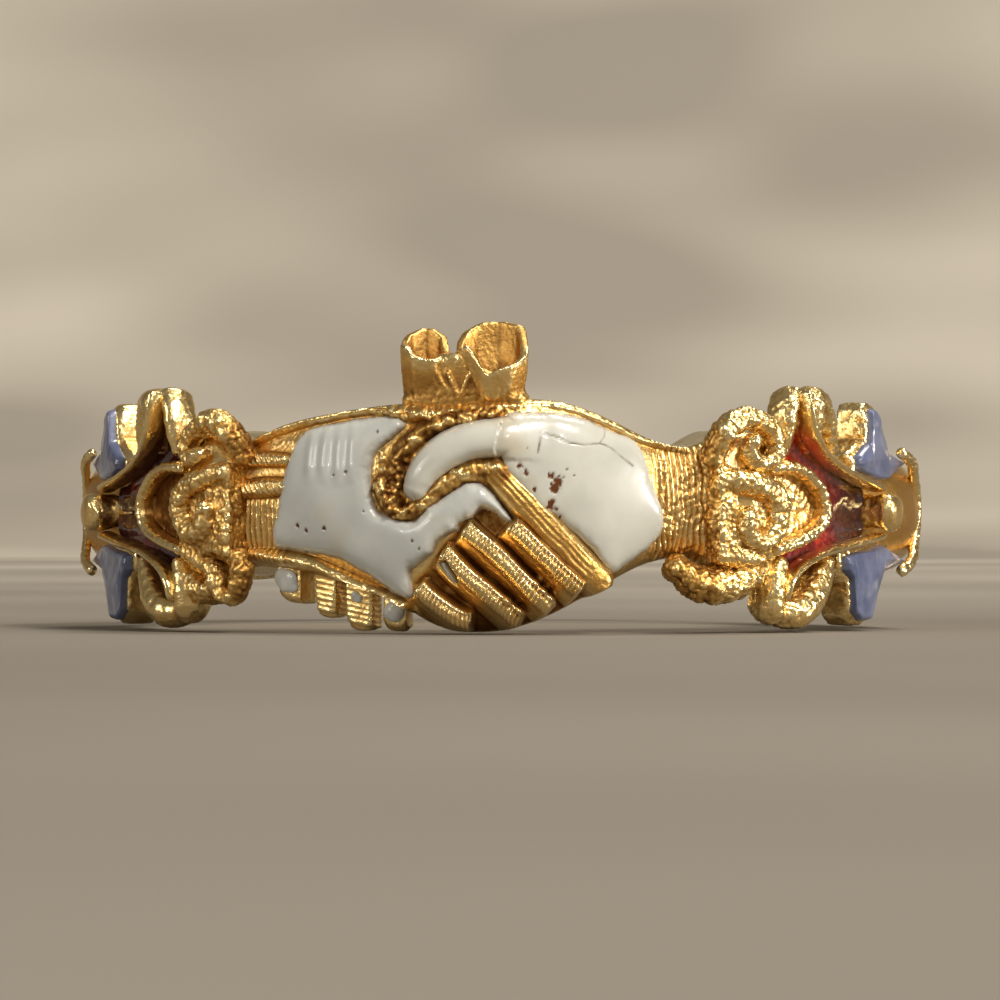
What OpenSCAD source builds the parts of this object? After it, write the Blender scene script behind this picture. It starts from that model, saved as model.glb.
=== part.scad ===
// Fede ring: a gold finger ring with two clasped hands, enamelled in white, red and blue.
// The finger axis is Z, the hands face -Y, and the origin is the centre of the finger hole.
// Angles run round the finger axis from the middle of the hands, positive towards +X.

/* [Ring] */
// Radius of the finger hole
bore_r = 9.3; // [9.2:0.05:9.35]
// Width of the finger bore where it meets the finger
bore_w = 2.3; // [2.0:0.1:2.3]
// How far the edges of the finger hole are eased back from the bore
bore_ease = 0.12; // [0.1:0.02:0.16]
// Radius of the shoulders behind the beads, half the width of the ring
shoulder_r = 12; // [11.9:0.05:12.1]
// Radius of the gold under the enamel of the hands at their crown
hand_r = 11.7; // [11.6:0.05:11.8]

/* [Hoop] */
// Thickness of the band at the back
hoop_t = 0.7; // [0.65:0.05:0.8]
// Width of the band at the back
hoop_w = 2.4; // [2.2:0.1:3.0]

/* [Enamel] */
// Thickness of the enamel
enamel_t = 0.3; // [0.25:0.05:0.35]
// Gap between an enamel and the gold around it
gap = 0.05; // [0.04:0.01:0.06]

/* [Crest] */
// Height of the taller crest lobe above the middle of the ring
crest_z = 5.2; // [4.8:0.1:5.4]
// Thickness of the walls of the crest lobes
crest_wall = 0.22; // [0.2:0.02:0.3]

/* [Hidden] */

core_in = 8.6;
rest_z = -3.3;
section_sides = 10;

// Sections of the solid core of the ring, without its ridges and lobes.
// Columns: angle, lower edge, upper edge, radius of the edges, radius of the crown
hand_sections = [
    [-36, -1.45, 1.80, 10.5, 11.2],
    [-33, -1.50, 2.05, 10.5, 11.25],
    [-28, -1.60, 2.40, 10.5, 11.15],
    [-23, -1.70, 2.60, 10.5, 11.3],
    [-18, -1.85, 2.75, 10.6, 11.45],
    [-13, -2.15, 2.88, 10.6, 11.55],
    [-9, -2.60, 2.95, 10.8, hand_r - 0.1],
    [-6, -3.00, 3.00, 10.8, hand_r],
    [-3, -3.20, 3.03, 10.8, hand_r],
    [1, -3.25, 3.05, 10.8, hand_r],
    [5, -3.20, 3.08, 10.8, hand_r],
    [9, -2.98, 3.08, 10.8, hand_r],
    [13, -2.65, 3.00, 10.8, hand_r],
    [17, -2.25, 2.75, 10.6, 11.65],
    [21, -1.80, 2.42, 10.6, 11.45],
    [25, -1.45, 2.05, 10.5, 11.25],
    [29, -1.25, 1.80, 10.5, 11.25],
    [33, -1.22, 1.75, 10.5, 11.2]];
cuff_sections = [
    [36, -1.75, 2.05, 10.8, 11.6],
    [40, -1.75, 2.30, 11.1, 11.95],
    [44, -1.75, 2.10, 11.0, 11.8]];
shoulder_sections = [
    [47, -1.75, 1.95, 10.6, 11.1],
    [50, -1.55, 1.85, 10.5, 11.05],
    [54, -1.30, 1.60, 10.5, 11.05],
    [58, -1.15, 1.30, 10.5, 11.05],
    [62, -1.05, 1.10, 10.5, 11.05],
    [66, -1.00, 1.00, 10.5, 11.1],
    [70, -1.10, 1.10, 10.6, 11.35],
    [76, -1.35, 1.35, 10.9, 11.7],
    [83, -1.50, 1.50, 10.9, shoulder_r - 0.05],
    [90, -1.50, 1.50, 10.7, shoulder_r],
    [96, -1.55, 1.55, 10.4, shoulder_r - 0.15],
    [102, -1.65, 1.65, 10.0, 11.3],
    [109, -1.80, 1.80, 9.75, 10.7],
    [118, -2.00, 2.00, 9.65, 10.3],
    [128, -2.05, 2.05, 9.65, bore_r + hoop_t],
    [140, -1.75, 1.75, 9.65, bore_r + hoop_t],
    [153, -1.15 * hoop_w / 2, 1.15 * hoop_w / 2, 9.65, bore_r + hoop_t],
    [167, -hoop_w / 2, hoop_w / 2, 9.65, bore_r + hoop_t]];
hoop_sections = [[180, -hoop_w / 2, hoop_w / 2, 9.65, bore_r + hoop_t]];

right_side = concat(cuff_sections, shoulder_sections);
left_side = [for (i = [len(right_side) - 1 : -1 : 0]) mirrored(right_side[i])];
core_sections = concat(left_side, hand_sections, right_side, hoop_sections);

// Outlines of the enamels, each point an angle and a height
left_hand_outline = [
    [-27.5, -1.20], [-26.5, 0.20], [-25, 1.55], [-23.5, 2.25], [-18.2, 2.52], [-13.3, 2.66], [-9.8, 2.68],
    [-8.8, 2.35], [-10.2, 1.98], [-12.7, 1.70], [-13.3, 0.90], [-12.4, 0.14], [-8.8, -0.08],
    [-5.8, -0.22], [-3.4, 0.12], [-1.6, 0.40], [1.2, 0.80], [3.1, 0.50], [4.8, -0.05],
    [2.2, -0.20], [-0.4, -0.42], [-2.3, -0.74], [-4.5, -1.06], [-6.5, -1.42], [-7.8, -1.84],
    [-8.0, -2.20], [-10.2, -2.22], [-12.8, -1.92], [-17, -1.62], [-22, -1.40]];
right_hand_outline = [
    [4.4, 1.62], [7.2, 1.15], [10.2, 0.35], [13.4, -0.46], [16.6, -1.26], [18.8, -1.72],
    [21.3, -1.55], [24, -1.20], [26.8, -0.70], [27.4, -0.15], [26.6, 0.40], [25.5, 0.95],
    [24.8, 1.55], [23.4, 1.98], [20, 2.22], [16.4, 2.52], [12.4, 2.72], [8.2, 2.74], [4.6, 2.64]];
red_outline = [[50.2, 2.08], [52, 1.78], [55.2, 1.46], [59, 1.10], [62.4, 0.78], [66.4, 0.64],
    [66.4, -0.64], [60.2, -0.80], [54.8, -1.08], [50.8, -1.30], [47.8, -1.58], [46.6, -0.90],
    [51.8, -0.44], [53.2, 0.04], [52.5, 0.52], [49.7, 1.05], [47.6, 1.24]];

// Paths of the raised gold forms.
// Columns: angle, radius, height, half width, half depth
thumb_path = [[9.5, 11.6, 2.02, 0.60, 0.50], [6, 11.65, 2.04, 0.58, 0.55], [2, 11.75, 1.95, 0.50, 0.55],
    [-1.5, 11.8, 1.76, 0.46, 0.52], [-4.4, 11.8, 1.38, 0.42, 0.48], [-6.2, 11.8, 0.95, 0.38, 0.42],
    [-6.9, 11.8, 0.60, 0.26, 0.30]];
finger_paths = [
    [[3.8, 11.72, 0.21, 0.33, 0.34], [6.4, 11.8, -0.45, 0.42, 0.42], [10, 11.8, -1.20, 0.44, 0.44],
        [13.4, 11.65, -1.85, 0.42, 0.42], [15.6, 11.4, -2.20, 0.32, 0.34]],
    [[-0.4, 11.75, -0.35, 0.32, 0.34], [2.6, 11.8, -0.88, 0.42, 0.42], [6.2, 11.75, -1.58, 0.44, 0.44],
        [9.4, 11.6, -2.25, 0.42, 0.44], [11.4, 11.3, -2.66, 0.34, 0.40]],
    [[-3.0, 11.75, -1.08, 0.32, 0.34], [-0.4, 11.75, -1.60, 0.40, 0.42], [3.0, 11.65, -2.20, 0.42, 0.46],
        [5.8, 11.4, -2.68, 0.40, 0.46], [7.6, 11.0, -2.90, 0.34, 0.40]],
    [[-7.2, 11.45, -1.85, 0.34, 0.36], [-4.6, 11.5, -2.32, 0.40, 0.44], [-1.6, 11.35, -2.74, 0.42, 0.46],
        [1.2, 11.0, -2.88, 0.38, 0.46]]];
band_path = [[4.4, 11.72, 1.02, 0.30, 0.28], [7.4, 11.75, 0.32, 0.36, 0.30], [11.2, 11.75, -0.52, 0.40, 0.32],
    [15, 11.6, -1.35, 0.42, 0.34], [18, 11.4, -1.80, 0.34, 0.32]];
fold_path = [[-11.4, 11.65, 0.95, 0.28, 0.26], [-9.6, 11.7, 0.30, 0.22, 0.24],
    [-6.6, 11.75, 0.18, 0.18, 0.24], [-4.0, 11.75, 0.55, 0.20, 0.26], [-1.6, 11.75, 1.00, 0.20, 0.26],
    [1.6, 11.75, 1.18, 0.20, 0.26], [4.2, 11.68, 1.28, 0.21, 0.24]];
lower_rim_path = [[-33, 10.9, -1.38, 0.16, 0.3], [-26, 10.9, -1.46, 0.16, 0.3], [-19, 11.0, -1.68, 0.16, 0.3],
    [-14, 11.05, -1.94, 0.16, 0.3], [-10.4, 11.1, -2.32, 0.16, 0.3]];
upper_rim_path = [[-34, 10.8, 1.92, 0.14, 0.25], [-28, 10.8, 2.32, 0.14, 0.25], [-20, 10.9, 2.64, 0.14, 0.25],
    [-13, 11.0, 2.80, 0.16, 0.25], [-9.6, 11.2, 2.70, 0.20, 0.28], [-3.5, 11.25, 2.60, 0.22, 0.30],
    [1, 11.2, 2.74, 0.18, 0.30], [7, 11.0, 2.88, 0.14, 0.25], [13, 11.0, 2.82, 0.14, 0.25],
    [19, 10.95, 2.44, 0.14, 0.25], [25, 10.8, 1.96, 0.14, 0.25], [32, 10.7, 1.66, 0.14, 0.25]];
crest_foot_path = [[-8.6, 10.7, 3.02, 0.30, 0.52], [-3, 10.7, 3.25, 0.55, 0.50], [0, 10.7, 3.25, 0.55, 0.55],
    [7.0, 10.7, 3.05, 0.30, 0.60]];
wrist_bar_paths = [
    [[-34.5, 11.1, 1.42, 0.17, 0.22], [-31, 11.1, 1.44, 0.18, 0.24], [-27.2, 11.15, 1.42, 0.15, 0.24]],
    [[-34.7, 11.21, 0.61, 0.22, 0.22], [-31.2, 11.27, 0.67, 0.24, 0.24], [-27.2, 11.23, 0.71, 0.2, 0.24]]];

// Strap ridges, straps and volutes of the right shoulder; the left one mirrors them
ridge_paths = [
    [[67.4, 11.6, 0.70, 0.15, 0.28], [63.6, 11.5, 0.88, 0.15, 0.28], [59, 11.5, 1.16, 0.15, 0.30],
        [55.2, 11.55, 1.46, 0.15, 0.32], [52, 11.65, 1.78, 0.16, 0.34], [50.2, 11.75, 2.12, 0.16, 0.36],
        [49.5, 11.85, 2.62, 0.16, 0.38], [50, 11.85, 3.2, 0.18, 0.38]],
    [[67.4, 11.6, -0.70, 0.15, 0.28], [60.1, 11.45, -0.96, 0.15, 0.28], [54.8, 11.5, -1.10, 0.15, 0.30],
        [50.8, 11.6, -1.30, 0.15, 0.32], [47.8, 11.65, -1.58, 0.16, 0.34],
        [45.8, 11.75, -1.95, 0.16, 0.36], [45.5, 11.73, -2.33, 0.17, 0.34]]];
strap_paths = [
    [[46.6, 11.25, 1.77, 0.34, 0.50], [47.4, 11.35, 2.35, 0.42, 0.60], [48.4, 11.4, 2.90, 0.44, 0.60],
        [50, 11.35, 3.18, 0.40, 0.52]],
    [[52.6, 11.1, 1.70, 0.36, 0.50], [52.8, 11.3, 2.40, 0.44, 0.58], [53.8, 11.35, 3.02, 0.50, 0.60],
        [56.2, 11.25, 3.00, 0.46, 0.55], [58.2, 11.1, 2.45, 0.38, 0.50], [59.8, 10.95, 1.80, 0.30, 0.42]],
    [[45.3, 11.32, -1.44, 0.34, 0.50], [44.2, 11.4, -2.00, 0.38, 0.58], [43.8, 11.4, -2.48, 0.40, 0.58],
        [44.5, 11.30, -2.73, 0.37, 0.50]],
    [[56.6, 11.1, -1.40, 0.32, 0.45], [54.6, 11.2, -1.95, 0.40, 0.52], [52.0, 11.3, -2.45, 0.46, 0.58],
        [49.1, 11.33, -2.72, 0.47, 0.59], [46.9, 11.25, -2.72, 0.40, 0.50]]];
arch_path = [[42.6, 11.85, 1.22, 0.17, 0.32], [46.4, 11.85, 1.22, 0.17, 0.32],
    [50.0, 11.75, 0.95, 0.17, 0.32], [52.5, 11.7, 0.52, 0.17, 0.32], [53.2, 11.7, 0.04, 0.17, 0.32],
    [51.8, 11.7, -0.44, 0.17, 0.32], [47.6, 11.8, -0.78, 0.17, 0.32], [43.2, 11.85, -1.02, 0.17, 0.32]];
right_cuff_paths = [
    [[34.2, 11.5, 1.50, 0.30, 0.42], [34.9, 11.75, 2.12, 0.30, 0.42], [36.6, 11.85, 2.46, 0.30, 0.40],
        [39.2, 11.9, 2.55, 0.28, 0.38], [42.0, 11.85, 2.34, 0.26, 0.36], [43.4, 11.85, 1.86, 0.24, 0.34],
        [42.2, 11.95, 1.42, 0.22, 0.32], [39.8, 12.0, 1.34, 0.20, 0.30], [38.2, 12.05, 1.66, 0.18, 0.28],
        [38.9, 12.1, 1.98, 0.16, 0.26]],
    [[35.3, 11.67, 0.88, 0.28, 0.36], [37.6, 11.9, 0.82, 0.32, 0.36], [41.0, 12.0, 0.66, 0.34, 0.36],
        [43.3, 11.95, 0.22, 0.34, 0.34], [43.0, 11.95, -0.40, 0.32, 0.32], [40.6, 12.0, -0.78, 0.28, 0.30],
        [38.2, 12.05, -0.52, 0.24, 0.28], [38.2, 12.1, -0.02, 0.20, 0.26]],
    [[35.7, 11.66, 1.13, 0.26, 0.40], [34.9, 11.74, 0.43, 0.30, 0.42], [34.7, 11.75, -0.41, 0.30, 0.42],
        [35.5, 11.66, -1.17, 0.26, 0.40]],
    [[29.6, 11.05, -1.50, 0.34, 0.45], [32.2, 11.25, -1.88, 0.46, 0.56], [36, 11.4, -2.00, 0.50, 0.60],
        [39.8, 11.35, -1.80, 0.42, 0.55], [42.6, 11.3, -1.40, 0.32, 0.45]]];
left_cuff_paths = [
    [[-33.6, 11.4, 1.55, 0.28, 0.42], [-34.6, 11.65, 2.15, 0.30, 0.42], [-36.8, 11.8, 2.52, 0.30, 0.40],
        [-39.8, 11.8, 2.38, 0.28, 0.38], [-42.4, 11.8, 1.86, 0.26, 0.36], [-41.0, 11.9, 1.46, 0.22, 0.32],
        [-38.8, 11.95, 1.62, 0.18, 0.28]],
    [[-35.6, 11.7, 1.06, 0.30, 0.36], [-38.6, 11.9, 0.92, 0.30, 0.36], [-41.8, 11.95, 0.60, 0.32, 0.36],
        [-43.0, 11.9, 0.00, 0.32, 0.34], [-41.0, 11.95, -0.54, 0.30, 0.32], [-38.4, 12.0, -0.44, 0.26, 0.30],
        [-37.8, 12.05, 0.10, 0.22, 0.28]],
    [[-34.2, 11.5, -1.20, 0.24, 0.36], [-33.6, 11.5, -1.78, 0.24, 0.36], [-35.2, 11.45, -2.28, 0.26, 0.38],
        [-37.4, 11.45, -2.16, 0.26, 0.40], [-38.2, 11.55, -1.55, 0.26, 0.40],
        [-40.6, 11.55, -1.30, 0.24, 0.38]],
    [[-37.6, 11.3, -2.10, 0.34, 0.45], [-41.0, 11.35, -2.15, 0.36, 0.50], [-44.0, 11.3, -1.75, 0.30, 0.45]]];

// Outer leaf of the right shoulder, above and below the beads.
// Columns: angle, lower edge, upper edge
leaf_top = 11.55;
leaf_root = 10.5;
upper_leaf = [[62.7, 0.83, 1.60], [66.7, 0.83, 2.05], [67.2, 0.83, 2.92], [69.0, 0.83, 3.05],
    [71.4, 0.78, 2.95], [72.6, 0.74, 2.45], [74.2, 0.70, 1.85], [79.3, 0.62, 1.62], [86.3, 0.70, 1.57]];
lower_leaf = [[59.2, -1.66, -0.95], [61.4, -1.95, -0.90], [61.9, -2.85, -0.83], [64.2, -3.12, -0.83],
    [67.4, -3.14, -0.83], [69.4, -2.40, -0.80], [71.6, -1.80, -0.76], [78.3, -1.64, -0.66],
    [86.3, -1.57, -0.72]];
upper_blue = [[63.2, 1.16, 1.52], [66.9, 0.98, 1.96], [67.5, 0.96, 2.84], [69.0, 0.93, 2.96],
    [71.1, 0.88, 2.84], [72.3, 0.87, 2.32], [74, 0.88, 1.76], [79, 1.18, 1.54], [83, 1.33, 1.47]];
lower_blue = [[60.0, -1.60, -1.22], [61.8, -1.86, -1.14], [62.4, -2.78, -1.10], [64.2, -3.02, -1.08],
    [67.1, -3.02, -1.02], [69.2, -2.28, -0.96], [71.4, -1.70, -0.90], [78, -1.54, -1.14],
    [83, -1.47, -1.33]];
bead_angle = 67;
bead_size = 0.5;
arch_fill_low = 10.9;
arch_fill_top = 11.5;
arch_fill = [[43.4, -0.93, 1.12], [47.7, -0.72, 1.12], [50.3, -0.48, 0.85], [52.3, -0.2, 0.4]];

// Tips of the four other fingers, under the left hand.
// Columns: angle, lowest point, half width, half depth
fingertips = [[-25.2, -2.60, 0.50, 0.60], [-19.4, -2.98, 0.46, 0.70],
    [-14.0, rest_z, 0.46, 0.75], [-9.4, rest_z, 0.42, 0.70]];

function mirrored(row) = [-row[0], row[1], row[2], row[3], row[4]];
function polar(a, r, z) = [r * sin(a), -r * cos(a), z];
function unit(v) = v / max(norm(v), 1e-9);
function wider(path) = [for (p = path) [p[0], p[1], p[2], p[3] + 1.3 * gap, p[4] + 1.3 * gap]];

// A section of the core as points round its edge, its crown raised or lowered by grow
function section(row, grow) = let (mid = (row[1] + row[2]) / 2, half = (row[2] - row[1]) / 2)
    concat([polar(row[0], core_in, row[2] + grow), polar(row[0], core_in, row[1] - grow)],
        [for (i = [0 : section_sides]) let (t = -90 + 180 * i / section_sides)
            polar(row[0], row[3] + (row[4] - row[3]) * pow(cos(t), 0.8) + grow,
                mid + (half + grow) * sin(t))]);

// One ring of points round a path, flat or round by its half width and half depth
function tube_ring(path, i, sides) = let (
        last = len(path) - 1,
        p = [for (row = path) polar(row[0], row[1], row[2])],
        along = unit(p[min(i + 1, last)] - p[max(i - 1, 0)]),
        out = polar(path[i][0], 1, 0),
        across = unit(cross(along, out)),
        up = cross(across, along))
    [for (k = [0 : sides - 1]) let (t = 360 * k / sides)
        p[i] + path[i][3] * cos(t) * across + path[i][4] * sin(t) * up];

// The end of a path drawn in and pushed out, so that a tube ends round
function end_ring(path, i, toward, sides) = let (
        p = polar(path[i][0], path[i][1], path[i][2]),
        q = polar(path[toward][0], path[toward][1], path[toward][2]),
        step = unit(p - q) * 0.6 * path[i][3])
    [for (v = tube_ring(path, i, sides)) p + (v - p) * 0.55 + step];

// The same outline, turned so that it runs clockwise
function turned(outline) = let (n = len(outline), area = sum([for (i = [0 : n - 1])
        outline[i][0] * outline[(i + 1) % n][1] - outline[(i + 1) % n][0] * outline[i][1]]))
    area < 0 ? outline : [for (i = [n - 1 : -1 : 0]) outline[i]];
function sum(v, i = 0) = i < len(v) ? v[i] + sum(v, i + 1) : 0;

// A solid through rings of points, capped at both ends or closed into a loop
module loft(rings, closed = false) {
    n = len(rings[0]);
    m = len(rings);
    sides = [for (i = [0 : m - (closed ? 1 : 2)]) for (j = [0 : n - 1]) let (
            a = i * n + j, b = i * n + (j + 1) % n,
            c = ((i + 1) % m) * n + (j + 1) % n, d = ((i + 1) % m) * n + j)
        each [[a, b, c], [a, c, d]]];
    caps = closed ? [] : [[for (j = [n - 1 : -1 : 0]) j], [for (j = [0 : n - 1]) (m - 1) * n + j]];
    polyhedron([for (ring = rings) each ring], concat(sides, caps));
}

// The core of the whole ring, its surface moved outwards by grow
module core(grow = 0) {
    loft([for (row = core_sections) section(row, grow)], closed = true);
}

// A rounded bar along a path
module tube(path, sides = 8) {
    last = len(path) - 1;
    loft(concat([end_ring(path, 0, 1, sides)],
        [for (i = [0 : last]) tube_ring(path, i, sides)],
        [end_ring(path, last, last - 1, sides)]));
}

// A radial prism over an outline of angles and heights, from inside the core to beyond it
module outline_prism(outline) {
    edge = turned(outline);
    loft([for (r = [9.8, 14]) [for (p = edge) polar(p[0], r, p[1])]]);
}

// Enamel lying on the core within an outline
module inlay(outline) {
    difference() {
        intersection() {
            outline_prism(outline);
            core(gap + enamel_t);
        }
        core(gap);
    }
}

// A curved plate over rows of an angle and two heights, between two radii
module plate(rows, low, top) {
    loft([for (row = rows) [polar(row[0], low, row[1]), polar(row[0], top, row[1]),
        polar(row[0], top, (row[1] + row[2]) / 2), polar(row[0], top, row[2]),
        polar(row[0], low, row[2])]]);
}

// Places its child with its Z axis pointing out from the finger axis
module outward(a, z) {
    translate([0, 0, z]) rotate([0, 0, a]) rotate([90, 0, 0]) children();
}

// Thin walled lobe of the crest, open above, its rim rising from front_z to top_z at the back.
// Levels hold the share of the width, the share of the depth and the share of the height.
module crest_lobe(a, half, top_z, front_z, depth) {
    foot_z = 2.5;
    ring_sides = 14;
    middle = polar(a, 10.7, 0);
    function rim_z(t) = front_z + (top_z - front_z) * pow((1 + sin(t)) / 2, 0.6);
    function wall_ring(level, inset) = [for (k = [0 : ring_sides - 1]) let (t = -360 * k / ring_sides)
        middle + [(half * level[0] - inset) * cos(t), (depth * level[1] - inset) * sin(t),
            foot_z + (rim_z(t) - foot_z) * level[2]]];
    foot = [0.84, 0.6, 0];
    waist = [0.84, 0.62, 0.3];
    flare = [0.96, 0.86, 0.68];
    rim = [1, 1, 1];
    loft([wall_ring(foot, 0), wall_ring(waist, 0), wall_ring(flare, 0), wall_ring(rim, 0),
        wall_ring(rim, crest_wall), wall_ring(flare, crest_wall), wall_ring([0.8, 0.6, 0.42], crest_wall)]);
}

// Fingers and the gold bands, folds and edges round the white enamel
module clasped_hands() {
    for (path = finger_paths) tube(path);
    tube(band_path);
    tube(fold_path, 6);
    tube(lower_rim_path, 6);
    tube(upper_rim_path, 6);
    for (path = wrist_bar_paths) tube(path, 6);
}

module fingertip_row() {
    tip_r = 10.75;
    root_r = 10.2;
    root_z = -1.4;
    for (tip = fingertips) {
        size = [tip[2], tip[3], tip[2]];
        hull() {
            translate(polar(tip[0], tip_r, tip[1] + tip[2])) scale(size) sphere(1, $fn = 10);
            translate(polar(tip[0], root_r, root_z)) scale(size) sphere(1, $fn = 6);
        }
    }
}

// Two open lobes side by side over a rounded foot
module crest() {
    crest_lobe(-6.7, 0.70, crest_z - 0.18, 4.45, 0.80);
    crest_lobe(3.1, 1.02, crest_z, 3.95, 0.95);
    tube(crest_foot_path);
}

// Round headed peg between the two leaves
module bead(grow = 0) {
    foot_r = 10.7;
    head_r = 11.7;
    outward(bead_angle, 0) {
        translate([0, 0, foot_r]) cylinder(r = bead_size + grow, h = head_r - foot_r, $fn = 12);
        translate([0, 0, head_r]) sphere(r = bead_size + grow, $fn = 12);
    }
}

module shoulder() {
    for (path = ridge_paths) tube(path, 6);
    for (path = strap_paths) tube(path);
    tube(arch_path, 6);
    plate(arch_fill, arch_fill_low, arch_fill_top);
    plate(upper_leaf, leaf_root, leaf_top);
    plate(lower_leaf, leaf_root, leaf_top);
    bead();
}

// Room round the raised gold that borders the enamel of the hands
module hand_borders() {
    for (path = concat(finger_paths, [band_path])) tube(wider(path));
    for (path = concat(wrist_bar_paths, [fold_path, lower_rim_path, upper_rim_path])) tube(wider(path), 6);
}

module left_hand_inlay() {
    difference() {
        inlay(left_hand_outline);
        hand_borders();
    }
}

module right_hand_inlay() {
    difference() {
        union() {
            inlay(right_hand_outline);
            tube(thumb_path);
        }
        core(gap);
        hand_borders();
    }
}

module red_inlay() {
    difference() {
        inlay(red_outline);
        for (path = concat(ridge_paths, [arch_path])) tube(wider(path), 6);
        for (path = strap_paths) tube(wider(path));
        bead(gap);
    }
}

module leaf_inlay(leaf) {
    plate(leaf, leaf_top + gap, leaf_top + gap + enamel_t);
}

// The casting with all its relief, eased by bore_ease beyond the edges of the finger bore
module casting() {
    difference() {
        union() {
            core();
            clasped_hands();
            fingertip_row();
            crest();
            for (path = concat(right_cuff_paths, left_cuff_paths)) tube(path, 7);
            shoulder();
            mirror([1, 0, 0]) shoulder();
        }
        translate([0, 0, -6]) cylinder(r = bore_r + bore_ease, h = 14, $fn = 96);
    }
}

// The finger bore is a true cylinder, and the relief round it is one faceted form
module gold_ring() {
    color("gold") {
        resize([0, 0, 0]) casting();
        rotate_extrude($fn = 96) translate([bore_r, -bore_w / 2]) square([3 * bore_ease, bore_w]);
    }
}

module white_enamel() {
    color("ghostwhite") resize([0, 0, 0]) children();
}

module red_enamel() {
    color("firebrick") resize([0, 0, 0]) children();
}

module blue_enamel() {
    color("steelblue") resize([0, 0, 0]) children();
}

gold_ring();
white_enamel() left_hand_inlay();  // white_enamel_left_hand
white_enamel() right_hand_inlay();  // white_enamel_right_hand
red_enamel() red_inlay();  // red_enamel_right
red_enamel() mirror([1, 0, 0]) red_inlay();  // red_enamel_left
blue_enamel() leaf_inlay(upper_blue);  // blue_enamel_upper_right
blue_enamel() leaf_inlay(lower_blue);  // blue_enamel_lower_right
blue_enamel() mirror([1, 0, 0]) leaf_inlay(upper_blue);  // blue_enamel_upper_left
blue_enamel() mirror([1, 0, 0]) leaf_inlay(lower_blue);  // blue_enamel_lower_left
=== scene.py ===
# %% [markdown]
# # A fede ring
# Two clasped hands on a gold finger ring, enamelled in white, red and blue. The imported solids come
# first, and each finished piece hides the solids that it stands for. The ring lies on its side, its
# finger axis upright, and the hands face -Y. Tables are in millimetres and degrees, as in the part's own
# source.

# %% Load the frame
import math
import bpy
import numpy as np
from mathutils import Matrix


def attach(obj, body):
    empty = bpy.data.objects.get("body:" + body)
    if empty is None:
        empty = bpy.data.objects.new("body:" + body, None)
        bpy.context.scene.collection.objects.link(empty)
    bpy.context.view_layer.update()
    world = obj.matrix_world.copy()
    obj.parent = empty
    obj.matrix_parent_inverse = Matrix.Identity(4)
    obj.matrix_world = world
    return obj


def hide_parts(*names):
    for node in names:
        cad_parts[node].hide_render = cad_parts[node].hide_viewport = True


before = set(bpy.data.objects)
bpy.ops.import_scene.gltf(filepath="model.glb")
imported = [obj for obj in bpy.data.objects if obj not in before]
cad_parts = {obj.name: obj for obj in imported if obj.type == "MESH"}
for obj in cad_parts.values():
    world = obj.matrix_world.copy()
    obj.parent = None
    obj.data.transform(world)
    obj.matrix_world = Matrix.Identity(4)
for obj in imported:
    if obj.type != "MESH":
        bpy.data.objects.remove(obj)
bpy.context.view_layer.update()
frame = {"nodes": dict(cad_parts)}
MM = 0.001
REST_Z = -3.3
print("solids:", ", ".join(frame["nodes"]))

# %% [markdown]
# The camera stands level with the ring, a little to the right of straight ahead, as far away as the
# perspective of the photograph says. Nothing else in the scene depends on it.

# %% Camera
CAMERA_TURN = math.radians(4.5)
CAMERA_AWAY = 200.0
CAMERA_AIM = (-0.057, 0.34)
lens = bpy.data.cameras.new("camera")
lens.lens = 251.7
lens.sensor_width = 36
lens.clip_start = 0.01
lens.clip_end = 20
camera = bpy.data.objects.new("camera", lens)
side, ahead = math.cos(CAMERA_TURN), math.sin(CAMERA_TURN)
camera.location = (MM * (CAMERA_AWAY * ahead + CAMERA_AIM[0] * side),
                   MM * (-CAMERA_AWAY * side + CAMERA_AIM[0] * ahead), MM * CAMERA_AIM[1])
camera.rotation_euler = (math.pi / 2, 0, CAMERA_TURN)
bpy.context.collection.objects.link(camera)
bpy.context.scene.camera = camera

# %% [markdown]
# A curve through a table's rows gives every wavy form here its line. Value noise on a small lattice
# gives the roughness of cast gold: it is worked out for whole arrays of points at once, and always
# with the same seed.

# %% Curves and noise
rng = np.random.default_rng(11)
NOISE_PERIOD, GRAIN_PERIOD = 32, 31
LATTICE = rng.random([NOISE_PERIOD] * 3) * 2 - 1


def smooth(rows, steps=8):
    """Curve through the rows of a table: between two rows a cubic whose slope at each row is half the
    step between that row's neighbours."""
    p = np.array(rows, float)
    q = np.vstack([2 * p[0] - p[1], p, 2 * p[-1] - p[-2]])
    t = (np.arange(steps) / steps)[:, None]
    parts = [0.5 * (2 * b + (c - a) * t + (2 * a - 5 * b + 4 * c - d) * t**2 + (3 * b - a - 3 * c + d) * t**3)
             for a, b, c, d in zip(q[:-3], q[1:-2], q[2:-1], q[3:])]
    return np.vstack(parts + [p[-1:]])


def sized(rows, *size):
    """Rows of a table that all end in the same numbers, such as one half width and half depth."""
    return [[*row, *size] for row in rows]


def unit(values):
    """Values held between 0 and 1."""
    return np.clip(values, 0, 1)


def noise(points, size, shift=0.0):
    """Lattice values between -1 and 1, blended with smoothstep weights between the eight corners of
    the cell, size across, that a point lies in."""
    q = np.asarray(points) / size + shift
    cell = np.floor(q).astype(int)
    f = q - cell
    f = f * f * (3 - 2 * f)
    total = 0
    for corner in np.ndindex(2, 2, 2):
        weight = np.prod(np.where(corner, f, 1 - f), axis=-1)
        i, j, k = np.moveaxis((cell + corner) % NOISE_PERIOD, -1, 0)
        total = total + weight * LATTICE[i, j, k]
    return total


def rough(points, size, shift=0.0):
    """Three layers of noise, each half the size and half the height of the one before."""
    return sum(noise(points, size / 2**k, shift + 7.3 * k) / 2**k for k in range(3)) / 1.75


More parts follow.
